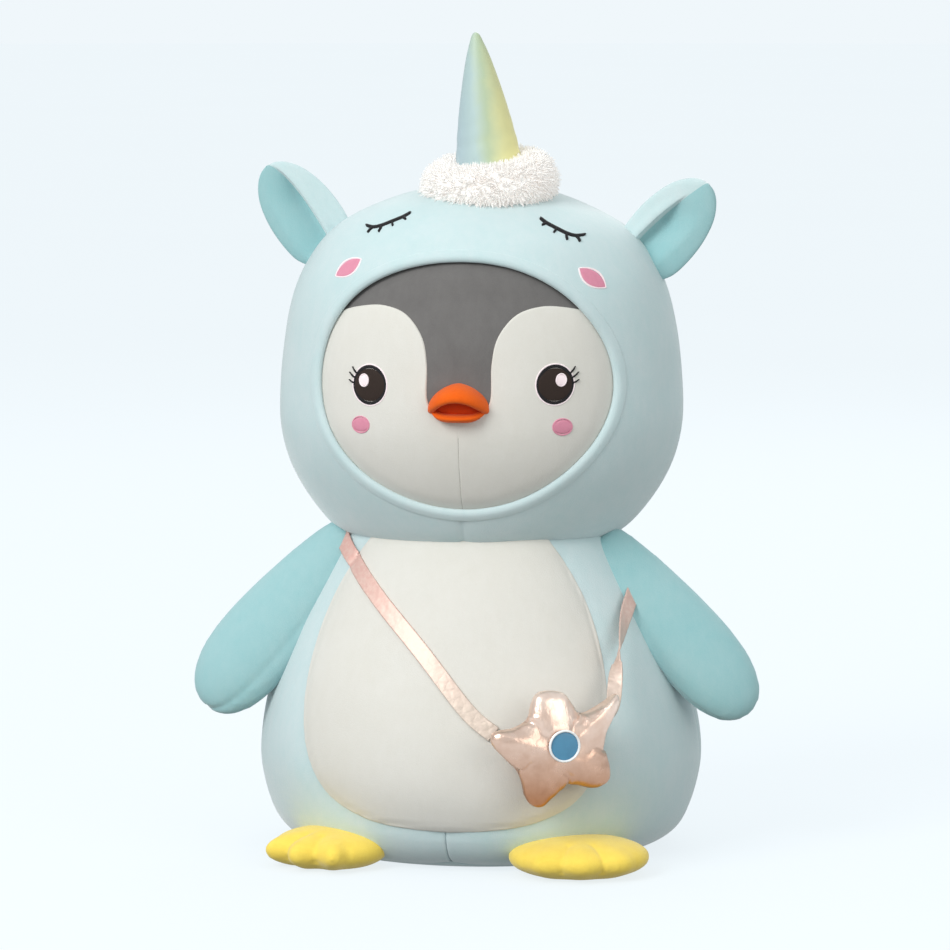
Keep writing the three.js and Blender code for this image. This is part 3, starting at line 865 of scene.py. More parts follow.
@dataclass
class Body:
    """The stuffed body: four blue panels, the pale belly and the base."""

    belly_drift: float = -5.0
    edge: float = 1.5
    wall: float = 1.4
    surface: Surface = field(init=False)
    belly_seam: Seam = field(init=False)
    belly_outline: list[Vector] = field(init=False)

    def __post_init__(self) -> None:
        """Draws the belly's outline and the form that the rest of the toy is laid on."""
        half = Line(((0, 199.5), (46, 199.5), (56, 194), (74, 166), (86, 135), (92, 100), (89, 68), (75, 44),
                     (50, 31), (22, 26.5), (0, 25.5)))
        right = half.sampled(120)
        self.belly_outline = ([Vector((p.x + self.belly_drift, p.y)) for p in right]
                              + [Vector((self.belly_drift - p.x * 1.02, p.y)) for p in reversed(right[1:-1])])
        plain = Surface(self.grid(0.0, math.tau, 96, 60, seamless=True, drawn=False))
        self.belly_seam = Seam([[plain.front(p.x, p.y) for p in self.belly_outline if p.y < 186.0]])
        self.surface = Surface(self.grid(0.0, math.tau, 192, 110, seamless=True))

    def relief(self, point: Vector) -> float:
        """How far the stuffing pushes the cover out, in slow waves."""
        return 1.6 * waver(point, 90.0, 3.0) + 0.5 * waver(point, 34.0, 7.0)

    def grid(self, start: float, end: float, columns: int, rows: int, seamless: bool = False,
             drawn: bool = True) -> bmesh.types.BMesh:
        """A stretch of the body between two angles.

        Args:
            start: The first angle from the front.
            end: The last angle.
            columns: Faces round.
            rows: Faces up.
            seamless: Whether its two sides stay level instead of turning under.
            drawn: Whether the belly's seam draws it in.

        Returns:
            The shape, in millimetres.
        """
        def place(across: float, along: float) -> Vector:
            """A point of the stretch."""
            side = across if seamless else crowd(across)
            angle = start + (end - start) * side
            share = crowd(along, 0.3)
            point = BODY.point(angle, share)
            normal = BODY.normal(angle, share)
            lift = self.relief(point)
            if drawn:
                lift -= self.belly_seam.sink(point, 1.5, 3.0) + self.belly_seam.sink(point, 1.6, 14.0)
            if not seamless:
                radius = max(point.xy.length, 1.0)
                gap = min(side, 1.0 - side) * abs(end - start) * radius
                lift -= rolled(gap, self.edge) + 0.9 * math.exp(-((gap / 9.0) ** 2))
            placed = point + normal * lift
            placed.z = max(placed.z, 0.3)
            return placed

        return laid_grid(columns, rows, place)

    def build(self, wardrobe: Wardrobe) -> None:
        """Makes the panels, the belly and the base."""
        quarter = math.pi / 2.0
        middle = -0.06
        panels = {"body_front_left": (middle, quarter), "body_back_left": (quarter, math.pi),
                  "body_back_right": (math.pi, 3 * quarter),
                  "body_front_right": (3 * quarter, 4 * quarter + middle)}
        for name, (start, end) in panels.items():
            panel = thicken(finish_mesh(self.grid(start, end, 56, 96), name, False), self.wall)
            extra = ("body_stuffing",) if name == "body_front_left" else ()
            settle_in(panel, wardrobe, Cloth.BLUE, "root", (name, *extra))
        self.build_belly(wardrobe)
        self.build_base(wardrobe)

    def build_belly(self, wardrobe: Wardrobe) -> None:
        """The belly panel, laid on the form and turned under all round."""
        outline = Line(tuple(tuple(p) for p in self.belly_outline), closed=True)

        def place(flat: Vector, inward: float) -> Vector:
            """A point of the belly."""
            lift = 0.9 - rolled(inward, 1.7) * 1.25
            return self.surface.front(flat.x, flat.y, lift)

        shape = ringed_patch(outline.at, 46, 240, place)
        belly = thicken(finish_mesh(shape, "belly_panel"), 1.0)
        settle_in(belly, wardrobe, Cloth.WHITE, "root", ("belly_panel",))

    def build_base(self, wardrobe: Wardrobe) -> None:
        """The round base, just above the floor, inside the panels' lower edge."""
        def place(across: float, along: float) -> Vector:
            """A point of the base: its underside first, then its top."""
            angle = math.tau * across
            low = along < 0.5
            share = along * 2.0 if low else 2.0 - along * 2.0
            radius = 108.0 * share
            height = (0.2 if low else 2.4) + 3.4 * blend_between(96.0, 110.0, radius)
            return Vector((radius * math.sin(angle), -radius * 0.9 * math.cos(angle), height))

        base = finish_mesh(laid_grid(72, 24, place), "base_panel")
        settle_in(base, wardrobe, Cloth.BLUE, "root", ("base_panel",))


# ---------------------------------------------------------------- stitching


def stitched_oval(surface: Surface, name: str, middle: Pair, half: Pair, lift: float, tilt: float = 0.0,
                  pitch: float = 0.45, height: float = 0.35, pointed: bool = False) -> bpy.types.Object:
    """An oval of satin stitch: threads side by side, each one a ridge from edge to edge.

    Args:
        surface: The form that it lies on.
        name: The piece's name.
        middle: Its centre in X and Z.
        half: Its half width and half height before it is tilted.
        lift: How far its edge lies off the form.
        tilt: Its turn in the X-Z plane.
        pitch: Distance between threads.
        height: Height of the domed middle over the edge.
        pointed: Whether its two ends come to a point, as a leaf's do.

    Returns:
        The piece.
    """
    threads = max(int(2.0 * half[0] / pitch), 6)
    turn = Matrix.Rotation(tilt, 2)

    def place(across: float, along: float) -> Vector:
        """A point of a thread."""
        u = max(min(across * 2.0 - 1.0, 0.995), -0.995)
        v = along * 2.0 - 1.0
        chord = (1.0 - u * u) if pointed else math.sqrt(1.0 - u * u)
        ragged = 1.0 + 0.02 * math.sin(37.0 * across * threads)
        flat = turn @ Vector((half[0] * u, half[1] * chord * v * ragged))
        ridge = 0.07 * math.cos(math.tau * across * threads)
        dome = height * (1.0 - abs(v) ** 3) * min(chord * 2.0, 1.0)
        ends = -0.6 * blend_between(0.86, 1.0, abs(v))
        return surface.front(middle[0] + flat.x, middle[1] + flat.y, lift + dome + ridge + ends)

    return finish_mesh(laid_grid(threads * 4, 10, place), name)


def stitched_ring(surface: Surface, name: str, middle: Pair, half: Pair, width: float, lift: float,
                  tilt: float = 0.0, pitch: float = 0.5, pointed: bool = False,
                  height: float = 0.3) -> bpy.types.Object:
    """A border of satin stitch round an oval, with its threads across it.

    Args:
        surface: The form that it lies on.
        name: The piece's name.
        middle: The oval's centre in X and Z.
        half: The oval's half width and half height, to the middle of the border.
        width: Width of the border.
        lift: How far its edges lie off the form.
        tilt: The oval's turn in the X-Z plane.
        pitch: Distance between threads.
        pointed: Whether the oval's ends come to a point.
        height: Height of its middle over its edges.

    Returns:
        The piece.
    """
    threads = int(math.pi * (half[0] + half[1]) / pitch)
    turn = Matrix.Rotation(tilt, 2)

    def flat_at(angle: float) -> Vector:
        """The middle of the border at an angle."""
        lean = abs(math.sin(angle)) ** 0.9 if pointed else 1.0
        return Vector((half[0] * math.cos(angle), half[1] * math.sin(angle) * lean))

    def place(across: float, along: float) -> Vector:
        """A point of a thread."""
        angle = math.tau * across
        here = flat_at(angle)
        ahead = flat_at(angle + 0.02) - flat_at(angle - 0.02)
        side = Vector((ahead.y, -ahead.x)).normalized()
        v = along * 2.0 - 1.0
        flat = turn @ (here + side * v * width * 0.5)
        ridge = 0.06 * math.cos(math.tau * across * threads)
        return surface.front(middle[0] + flat.x, middle[1] + flat.y,
                             lift + height * math.sqrt(max(1.0 - v * v, 0.0)) + ridge - 0.3 * v**6)

    return finish_mesh(laid_grid(threads * 4, 6, place), name)


def stitched_line(surface: Surface, lines: Sequence[Line], widths: Sequence[Pair], name: str,
                  lift: float) -> bpy.types.Object:
    """Lines of tight zigzag stitch, joined as one piece.

    Args:
        surface: The form that they lie on.
        lines: Each line in X and Z.
        widths: Each line's width at its start and end.
        name: The piece's name.
        lift: How far the lines' middle stands off the form.

    Returns:
        The piece.
    """
    whole = bmesh.new()
    for line, (first, last) in zip(lines, widths):
        length = sum((b - a).length for a, b in zip(line.sampled(20), line.sampled(20)[1:]))
        threads = max(int(length / 0.5), 4)

        def place(across: float, along: float) -> Vector:
            """A point across and along the line."""
            here = line.at(along)
            ahead = line.at(min(along + 0.02, 1.0)) - line.at(max(along - 0.02, 0.0))
            side = Vector((ahead.y, -ahead.x)).normalized()
            round_end = math.sqrt(max(1.0 - (2.0 * along - 1.0) ** 14, 0.0))
            half = 0.5 * (first + (last - first) * along) * round_end
            v = across * 2.0 - 1.0
            flat = here + side * v * half
            ridge = 0.05 * math.cos(math.tau * along * threads)
            domed = lift * math.sqrt(max(1.0 - v * v, 0.0))
            return surface.front(flat.x, flat.y, domed + ridge - 0.25 * v**8)

        joined(whole, laid_grid(6, threads * 4, place, 0.0005))
    return finish_mesh(whole, name)


# ---------------------------------------------------------------- face


@dataclass
class Face:
    """The face inside the hood: grey crown, two white lobes, eyes and cheeks."""

    hood: Surface
    depth: float = 3.4
    opening: Pair = (91.0, 76.2)
    middle: float = 292.0
    eye: Pair = (55.0, 292.5)
    eye_half: Pair = (9.6, 10.9)
    glint: Pair = (3.3, 2.6)
    cheek: Pair = (60.0, 268.0)
    skin: float = 0.95
    surface: Surface = field(init=False)

    def __post_init__(self) -> None:
        """Makes the form of the face under the hood."""
        self.surface = Surface(self.sheet(104.0, 90.0, 140, 80))

    def sink(self, x: float, z: float) -> float:
        """How far the face lies below the hood's outer side."""
        reach = math.hypot(x / self.opening[0], (z - self.middle) / self.opening[1])
        edge = 1.9 * blend_between(0.88, 1.06, reach)
        brow = 0.7 * blend_between(0.3, 1.0, (z - self.middle) / self.opening[1])
        full = 3.0 * max(1.0 - reach * reach, 0.0)
        return self.depth + edge + brow - full

    def sheet(self, half_width: float, half_height: float, around: int, rings: int) -> bmesh.types.BMesh:
        """The whole face as one oval sheet."""
        corners = oval(0.0, self.middle, half_width, half_height, count=around)
        return ringed_patch(lambda share: corners[round(share * around) % around], rings, around,
                            lambda flat, _: self.hood.front(flat.x, flat.y, -self.sink(flat.x, flat.y)))

    def lobe_outline(self, side: float) -> list[Vector]:
        """One white lobe, as far as the rim under the hood."""
        inner = Line(((0.03, 262), (0.03, 272), (12, 276), (18.6, 284), (19.2, 305), (22.5, 321),
                      (32.5, 334), (46, 339), (60, 338.5), (76, 334), (95, 322), (118, 300)))
        points = inner.sampled(90) + [Vector((118.0, 190.0)), Vector((0.03, 190.0))]
        lobe = [Vector((side * p.x, p.y)) for p in points]
        rim = oval(0.0, self.middle, 99.0, 84.0)
        centre = Vector((side * 50.0, 268.0))
        outline = []
        for i in range(260):
            direction = Vector((math.cos(math.tau * i / 260), math.sin(math.tau * i / 260)))
            reach = min(reach_of(centre, direction, lobe), reach_of(centre, direction, rim))
            outline.append(centre + direction * reach)
        return outline

    def build(self, wardrobe: Wardrobe) -> None:
        """Makes the skin, the lobes and the stitched features."""
        crown = thicken(finish_mesh(self.sheet(100.0, 86.0, 200, 60), "crown_panel"), 1.2)
        settle_in(crown, wardrobe, Cloth.GREY, "root", ("crown_panel", "head_stuffing"))
        for name, side in (("left", 1.0), ("right", -1.0)):
            corners = self.lobe_outline(side)

            def place(flat: Vector, inward: float) -> Vector:
                """A point of the lobe, turned under at its edge."""
                middle = blend_between(3.0, 1.0, abs(flat.x)) * blend_between(277.0, 273.0, flat.y)
                under = rolled(inward, 1.3) * (1.3 - 1.05 * middle)
                return self.surface.front(flat.x, flat.y, self.skin - under)

            shape = ringed_patch(lambda share: corners[round(share * 260) % 260], 44, 260, place)
            lobe = thicken(finish_mesh(shape, f"face_{name}"), 0.8)
            settle_in(lobe, wardrobe, Cloth.WHITE, "root", (f"face_{name}",))
            self.build_eye(wardrobe, name, side)

    def stitch(self, wardrobe: Wardrobe, piece: str, cloth: Cloth, middle: Pair, half: Pair, lift: float,
               height: float, width: float = 0.0) -> None:
        """Stitches an oval on the face, or a ring round one.

        Args:
            wardrobe: Where its material comes from.
            piece: Its name.
            cloth: Its finish.
            middle: Its centre in X and Z.
            half: Its half width and half height.
            lift: How far its edge lies off the lobes.
            height: Height of its middle over its edge.
            width: Width of the ring, or 0 for an oval.
        """
        lifted = self.skin + lift
        if width:
            made = stitched_ring(self.surface, piece, middle, half, width, lifted, height=height)
        else:
            made = stitched_oval(self.surface, piece, middle, half, lifted, height=height)
        settle_in(made, wardrobe, cloth, "root", () if width else (piece,))

    def build_eye(self, wardrobe: Wardrobe, name: str, side: float) -> None:
        """One eye with its highlight and lashes, and the cheek below it."""
        eye = (side * self.eye[0] + 0.7, self.eye[1] + side * 0.7)
        spot = (eye[0] + side * self.glint[0], eye[1] + self.glint[1])
        blush = (side * self.cheek[0], self.cheek[1])
        halo = (self.eye_half[0] + 1.2, self.eye_half[1] + 1.2)
        self.stitch(wardrobe, f"eye_{name}", Cloth.BROWN, eye, self.eye_half, 0.15, 0.5)
        self.stitch(wardrobe, f"eye_rim_{name}", Cloth.BLACK, eye, self.eye_half, 0.25, 0.12, 2.2)
        self.stitch(wardrobe, f"eye_halo_{name}", Cloth.PALE, eye, halo, 0.05, 0.3, 1.0)
        self.stitch(wardrobe, f"eye_glint_{name}", Cloth.PALE, spot, (2.7, 3.6), 0.85, 0.25)
        self.stitch(wardrobe, f"eye_glint_edge_{name}", Cloth.PALE, spot, (2.7, 3.6), 0.95, 0.3, 0.8)
        lashes = [Line(tuple((eye[0] + side * x, eye[1] + z) for x, z in points)) for points in (
            ((7.6, 6.0), (9.8, 7.9), (11.2, 10.4)), ((8.9, 3.6), (11.2, 4.9), (13.1, 7.1)),
            ((9.4, 0.9), (11.5, 1.2), (13.4, 2.6)))]
        line = stitched_line(self.surface, lashes, [(2.0, 0.8)] * 3, f"eye_lashes_{name}", self.skin + 0.9)
        settle_in(line, wardrobe, Cloth.BLACK, "root")
        self.stitch(wardrobe, f"cheek_{name}", Cloth.PINK, blush, (5.2, 4.7), 0.15, 0.4)
        self.stitch(wardrobe, f"cheek_edge_{name}", Cloth.PINK, blush, (5.3, 4.8), 0.2, 0.3, 0.9)


# ---------------------------------------------------------------- beak


@dataclass
class Beak:
    """A padded open beak: domed upper half, thin lower lip and a dark lining."""

    face: Surface
    width: float = 18.9
    reach: float = 18.0
    crown: float = 294.6
    rim: float = 277.8
    arch: float = 8.2
    wall: float = 4.2
    lip: float = 273.9
    sunk: float = 5.0

    def build(self, wardrobe: Wardrobe) -> None:
        """Makes the three pieces."""
        base = self.face.front(0.0, 284.0).y + self.sunk

        def upper(across: float, along: float) -> Vector:
            """A point of the upper half: over the top, round the rim and back underneath."""
            angle = (across - 0.5) * math.pi
            rim = self.rim + self.arch * math.cos(angle) ** 2
            half = self.wall / 2.0
            if along < 0.45:
                rise = (1.0 - along / 0.45) * math.pi / 2.0
                inset, height = 0.0, (self.crown - rim) * math.sin(rise)
                out = math.cos(rise)
            elif along < 0.65:
                turn = (along - 0.45) / 0.2 * math.pi
                inset, height, out = half * (1.0 - math.cos(turn)), -half * math.sin(turn), 1.0
            else:
                rise = (along - 0.65) / 0.35 * math.pi / 2.0
                inset, height = self.wall, (self.crown - rim - self.wall) * math.sin(rise)
                out = math.cos(rise)
            wide = (self.width - inset) * out**1.3
            long = (self.reach + self.sunk - inset) * out
            return Vector((wide * math.sin(angle), base - long * math.cos(angle), rim + height))

        piece = rounded(finish_mesh(laid_grid(40, 36, upper), "beak_upper"))
        settle_in(piece, wardrobe, Cloth.ORANGE, "root", ("beak_upper",))

        def lower(across: float, along: float) -> Vector:
            """A point of the lower lip: a rounded bar that curls up at its corners."""
            angle = (across - 0.5) * math.pi
            turn = math.tau * along
            middle = self.lip + 5.4 * abs(math.sin(angle)) ** 5
            thick = 2.7 - 0.5 * abs(math.sin(angle)) ** 4
            back = 5.5 + 4.0 * math.cos(angle)
            out = math.cos(turn)
            side = (self.width - 1.2) - (1.0 - out) * back * 0.5
            long = (12.5 + self.sunk) - (1.0 - out) * back
            return Vector((side * math.sin(angle), base - long * math.cos(angle),
                           middle + thick * math.sin(turn)))

        piece = rounded(finish_mesh(laid_grid(40, 16, lower), "beak_lower"))
        settle_in(piece, wardrobe, Cloth.ORANGE, "root", ("beak_lower",))

        def lining(across: float, along: float) -> Vector:
            """A point of the lining: a low dome behind the rim."""
            angle, rise = math.tau * across, math.pi / 2.0 * along
            return Vector((15.5 * math.cos(angle) * math.sin(rise), base - self.sunk - 6.0 * math.cos(rise),
                           281.5 + 8.0 * math.sin(angle) * math.sin(rise)))

        piece = finish_mesh(laid_grid(40, 12, lining), "mouth_lining")
        settle_in(thicken(piece, 0.8), wardrobe, Cloth.MOUTH, "root", ("mouth_lining",))


# ---------------------------------------------------------------- hood


@dataclass
class Hood:
    """The unicorn hood: a front and two back panels, the hem, and its stitched face."""

    opening: Pair = (91.0, 76.2)
    middle: float = 292.0
    heart: Vector = field(default_factory=lambda: Vector((0.0, 0.0, 297.0)))
    hem: float = 4.2
    edge: float = 0.4
    wall: float = 1.6
    surface: Surface = field(init=False)

    def __post_init__(self) -> None:
        """Makes the form that the hood follows."""
        def place(across: float, along: float) -> Vector:
            """A point of the head's form, with the filling's slow waves."""
            angle, share = math.tau * across, crowd(along, 0.3)
            point = HEAD.point(angle, share)
            lift = 1.4 * waver(point, 85.0, 11.0) + 0.45 * waver(point, 30.0, 5.0)
            return point + HEAD.normal(angle, share) * lift

        self.surface = Surface(laid_grid(192, 110, place))

    def rim_point(self, angle: float, outward: float) -> Vector:
        """A flat point at an angle round the opening, at a distance outside its edge."""
        uneven = 0.7 * math.sin(3.0 * angle + 0.6) + 0.5 * math.sin(5.0 * angle + 2.0)
        flat = Vector((self.opening[0] * math.cos(angle), self.opening[1] * math.sin(angle)))
        flat *= 1.0 + (outward + uneven) / flat.length
        return on_hood(flat.x, self.middle + flat.y)

    def panel(self, start: float, end: float, columns: int, rows: int, back: bool) -> bmesh.types.BMesh:
        """A panel of the hood: from the hem to the side seam, or from there to the back of the head.

        Args:
            start: First angle round the opening.
            end: Last angle.
            columns: Faces round.
            rows: Faces from its nearer edge to its farther one.
            back: Whether it lies behind the side seam. A front panel goes all the way round.

        Returns:
            The shape, in millimetres.
        """
        def place(across: float, along: float) -> Vector:
            """A point of the panel."""
            side = crowd(across) if back else across
            angle = start + (end - start) * side
            first = self.surface.front(*self.rim_point(angle, self.hem)) - self.heart
            open_at = math.acos(-first.y / first.length)
            around = math.atan2(first.z, first.x)
            begin = math.pi / 2.0 if back else open_at
            span = math.pi / 2.0 if back else math.pi / 2.0 - open_at
            turn = begin + span * crowd(along)
            out = Vector((math.cos(around) * math.sin(turn), -math.cos(turn),
                          math.sin(around) * math.sin(turn)))
            point = self.surface.cast(self.heart, out)
            radius = (point - self.heart).length
            gap = crowd(along) * span * radius
            sink = rolled(gap, self.edge)
            if back:
                flank = min(side, 1.0 - side) * abs(end - start) * radius * math.sin(turn)
                sink += rolled(flank, self.edge) + 0.8 * math.exp(-((gap / 8.0) ** 2))
            else:
                sink += rolled((1.0 - crowd(along)) * span * radius, self.edge)
            return point - out * (sink + self.chin_sink(point))

        return laid_grid(columns, rows, place)

    def chin_sink(self, point: Vector) -> float:
        """The seam below the opening, drawn in."""
        if point.y > -20.0 or point.z > 222.0:
            return 0.0
        return 1.3 * math.exp(-((point.x + 0.6) / 1.1) ** 2) + 0.5 * math.exp(-((point.x + 0.6) / 6.0) ** 2)

    def build(self, wardrobe: Wardrobe) -> None:
        """Makes the panels, the hem and the stitched face."""
        front = self.panel(-math.pi / 2.0, 1.5 * math.pi, 320, 64, False)
        piece = thicken(finish_mesh(front, "hood_front"), self.wall)
        settle_in(piece, wardrobe, Cloth.BLUE, "root", ("hood_front",))
        for name, start in (("left", -0.5), ("right", 0.5)):
            shape = self.panel(start * math.pi, (start + 1.0) * math.pi, 90, 60, True)
            piece = thicken(finish_mesh(shape, f"hood_back_{name}"), self.wall)
            settle_in(piece, wardrobe, Cloth.BLUE, "root", (f"hood_back_{name}",))
        self.build_hem(wardrobe)
        self.build_features(wardrobe)

    def build_hem(self, wardrobe: Wardrobe) -> None:
        """The hem: a soft roll from the panel's edge, over the rim and in under the hood."""
        section = Line(((4.5, -0.45), (4.1, -0.05), (3.2, 0.05), (2.0, 0.05), (0.8, -0.2), (-0.2, -1.0),
                        (-0.6, -2.2), (0.0, -3.3), (2.2, -4.0), (6.0, -4.3), (12.0, -4.6)))

        def place(across: float, along: float) -> Vector:
            """A point of the hem."""
            angle = math.tau * across - math.pi / 2.0
            outward, lift = section.at(along)
            flat = self.rim_point(angle, outward)
            lifted = lift + 0.2 * max(-math.sin(angle), 0.0) * blend_between(4.5, 1.0, outward)
            return self.surface.front(flat.x, flat.y, lifted)

        piece = finish_mesh(laid_grid(280, 40, place), "hood_hem")
        settle_in(thicken(piece, 0.6), wardrobe, Cloth.BLUE, "root", ("hood_hem",))

    def build_features(self, wardrobe: Wardrobe) -> None:
        """The closed eyes and the cheeks stitched on the hood."""
        lid = ((-13.7, -2.6), (-8.2, -3.2), (-3.3, -2.0), (2.8, 0.6), (9.6, 3.7), (13.9, 6.4))
        lashes = (((-8.4, -3.2), (-9.9, -4.6), (-11.3, -6.7)), ((-2.9, -1.9), (-3.3, -3.8), (-4.1, -5.7)),
                  ((3.0, 0.8), (3.8, -0.6), (4.4, -1.8)), ((9.4, 3.6), (10.7, 3.0), (12.0, 2.4)))
        for name, side in (("left", 1.0), ("right", -1.0)):
            placed = [Line(tuple(tuple(on_hood(side * (53.0 - x), 384.8 + z)) for x, z in points))
                      for points in (lid, *lashes)]
            widths = [(1.9, 1.9)] + [(1.8, 1.4)] * len(lashes)
            line = stitched_line(self.surface, placed, widths, f"sleepy_lid_{name}", 0.9)
            settle_in(line, wardrobe, Cloth.BLACK, "root", (f"sleepy_lid_{name}",))
            spot = on_hood(side * 73.5, 357.5)
            tilt = -side * 0.62 - HOOD_ROLL
            blush = stitched_oval(self.surface, f"hood_cheek_{name}", tuple(spot), (9.6, 4.3), 0.15, tilt,
                                  height=0.4, pointed=True)
            settle_in(blush, wardrobe, Cloth.PINK, "root", (f"hood_cheek_{name}",))
            edge = stitched_ring(self.surface, f"hood_cheek_edge_{name}", tuple(spot), (9.7, 4.4), 0.9, 0.15,
                                 tilt, pointed=True)
            settle_in(edge, wardrobe, Cloth.PALE, "root")


# ---------------------------------------------------------------- horn and fleece


@dataclass
class Horn:
    """The satin horn and the fleece ring round its foot."""

    hood: Surface
    lean: float = math.radians(6.0)
    seat: Vector = field(default_factory=lambda: Vector((8.2, -14.0, 404.94)))
    profile: Line = Line(((19.0, -14), (21.0, -6), (20.6, 12), (17.6, 34), (13.4, 56), (8.0, 78), (4.0, 90),
                          (2.0, 94.4), (0, 95.6)))
    ring: float = 26.5
    roll: Pair = (14.0, 15.5)
    batches: int = 90
    batch: int = 100
    tuft: float = 5.0

    def build(self, wardrobe: Wardrobe) -> None:
        """Makes the horn and the ring."""
        stand = Matrix.Translation(self.seat) @ Matrix.Rotation(-self.lean, 4, "Y")

        def place(across: float, along: float) -> Vector:
            """A point of the horn, drawn in along its one seam at the back left."""
            angle = math.tau * across
            radius, height = self.profile.at(along)
            seam = math.exp(-((min(across, 1.0 - across)) * math.tau * max(radius, 1.0) / 1.3) ** 2)
            wave = math.sin(height * 0.55 + 2.0 * math.sin(angle))
            creased = 0.35 * wave * blend_between(60.0, 0.0, height)
            radius = max(radius + (creased - 0.9 * seam) * min(radius / 6.0, 1.0), 0.0)
            turned = angle + math.radians(205.0)
            return stand @ Vector((radius * math.sin(turned), -radius * math.cos(turned), height))

        horn = finish_mesh(laid_grid(72, 60, place), "horn_cover")
        settle_in(horn, wardrobe, Cloth.HORN, "horn", ("horn_cover", "horn_stuffing"),
                  (self.seat + UP * 2.0, self.seat + UP * 34.0))
        self.build_fleece(wardrobe)

    def ring_point(self, around: float, over: float, grow: float = 0.0) -> Vector:
        """A point of the fleece ring, at an angle round it and an angle round its roll."""
        wide, high = self.roll[0] + grow, self.roll[1] + grow
        radius = self.ring + wide * math.cos(over)
        lump = 1.0 + 0.06 * waver(Vector((math.sin(around), math.cos(around), over)) * 9.0, 6.0, 2.0)
        flat = Vector((radius * math.sin(around), -radius * math.cos(around), high * math.sin(over) * lump))
        tilted = Matrix.Rotation(-0.1, 3, "Y") @ Matrix.Rotation(0.16, 3, "X") @ flat
        return tilted + Vector((7.4, -16.5, 408.0))

    def build_fleece(self, wardrobe: Wardrobe) -> None:
        """The ring, with short tufts of pile all over it."""
        core = laid_grid(120, 40, lambda u, v: self.ring_point(math.tau * u, math.tau * v, -1.5))
        piece = finish_mesh(core, "fleece_ring")
        settle_in(piece, wardrobe, Cloth.FLEECE, "root", ("fleece_ring",))
        draw = random.Random(5)
        pile = bmesh.new()
        for _ in range(self.batches):
            part = bmesh.new()
            for _ in range(self.batch):
                around, over = draw.uniform(0.0, math.tau), draw.uniform(-1.9, 3.4)
                root = self.ring_point(around, over, -1.6)
                out = (self.ring_point(around, over, 1.0) - self.ring_point(around, over, -1.0)).normalized()
                lean = Vector((draw.gauss(0.0, 0.4), draw.gauss(0.0, 0.4), draw.gauss(-0.35, 0.3)))
                direction = (out + lean).normalized()
                length = self.tuft * draw.uniform(0.7, 1.15)
                made = bmesh.ops.create_cone(part, cap_ends=False, segments=3, radius1=0.75,
                                             radius2=0.12, depth=length)
                turn = direction.to_track_quat("Z", "Y").to_matrix().to_4x4()
                bmesh.ops.transform(part, verts=made["verts"],
                                    matrix=Matrix.Translation(root + direction * length * 0.5) @ turn)
            joined(pile, part)
        fur = finish_mesh(pile, "fleece_pile", False)
        settle_in(fur, wardrobe, Cloth.FLEECE, "root")


# ---------------------------------------------------------------- ears


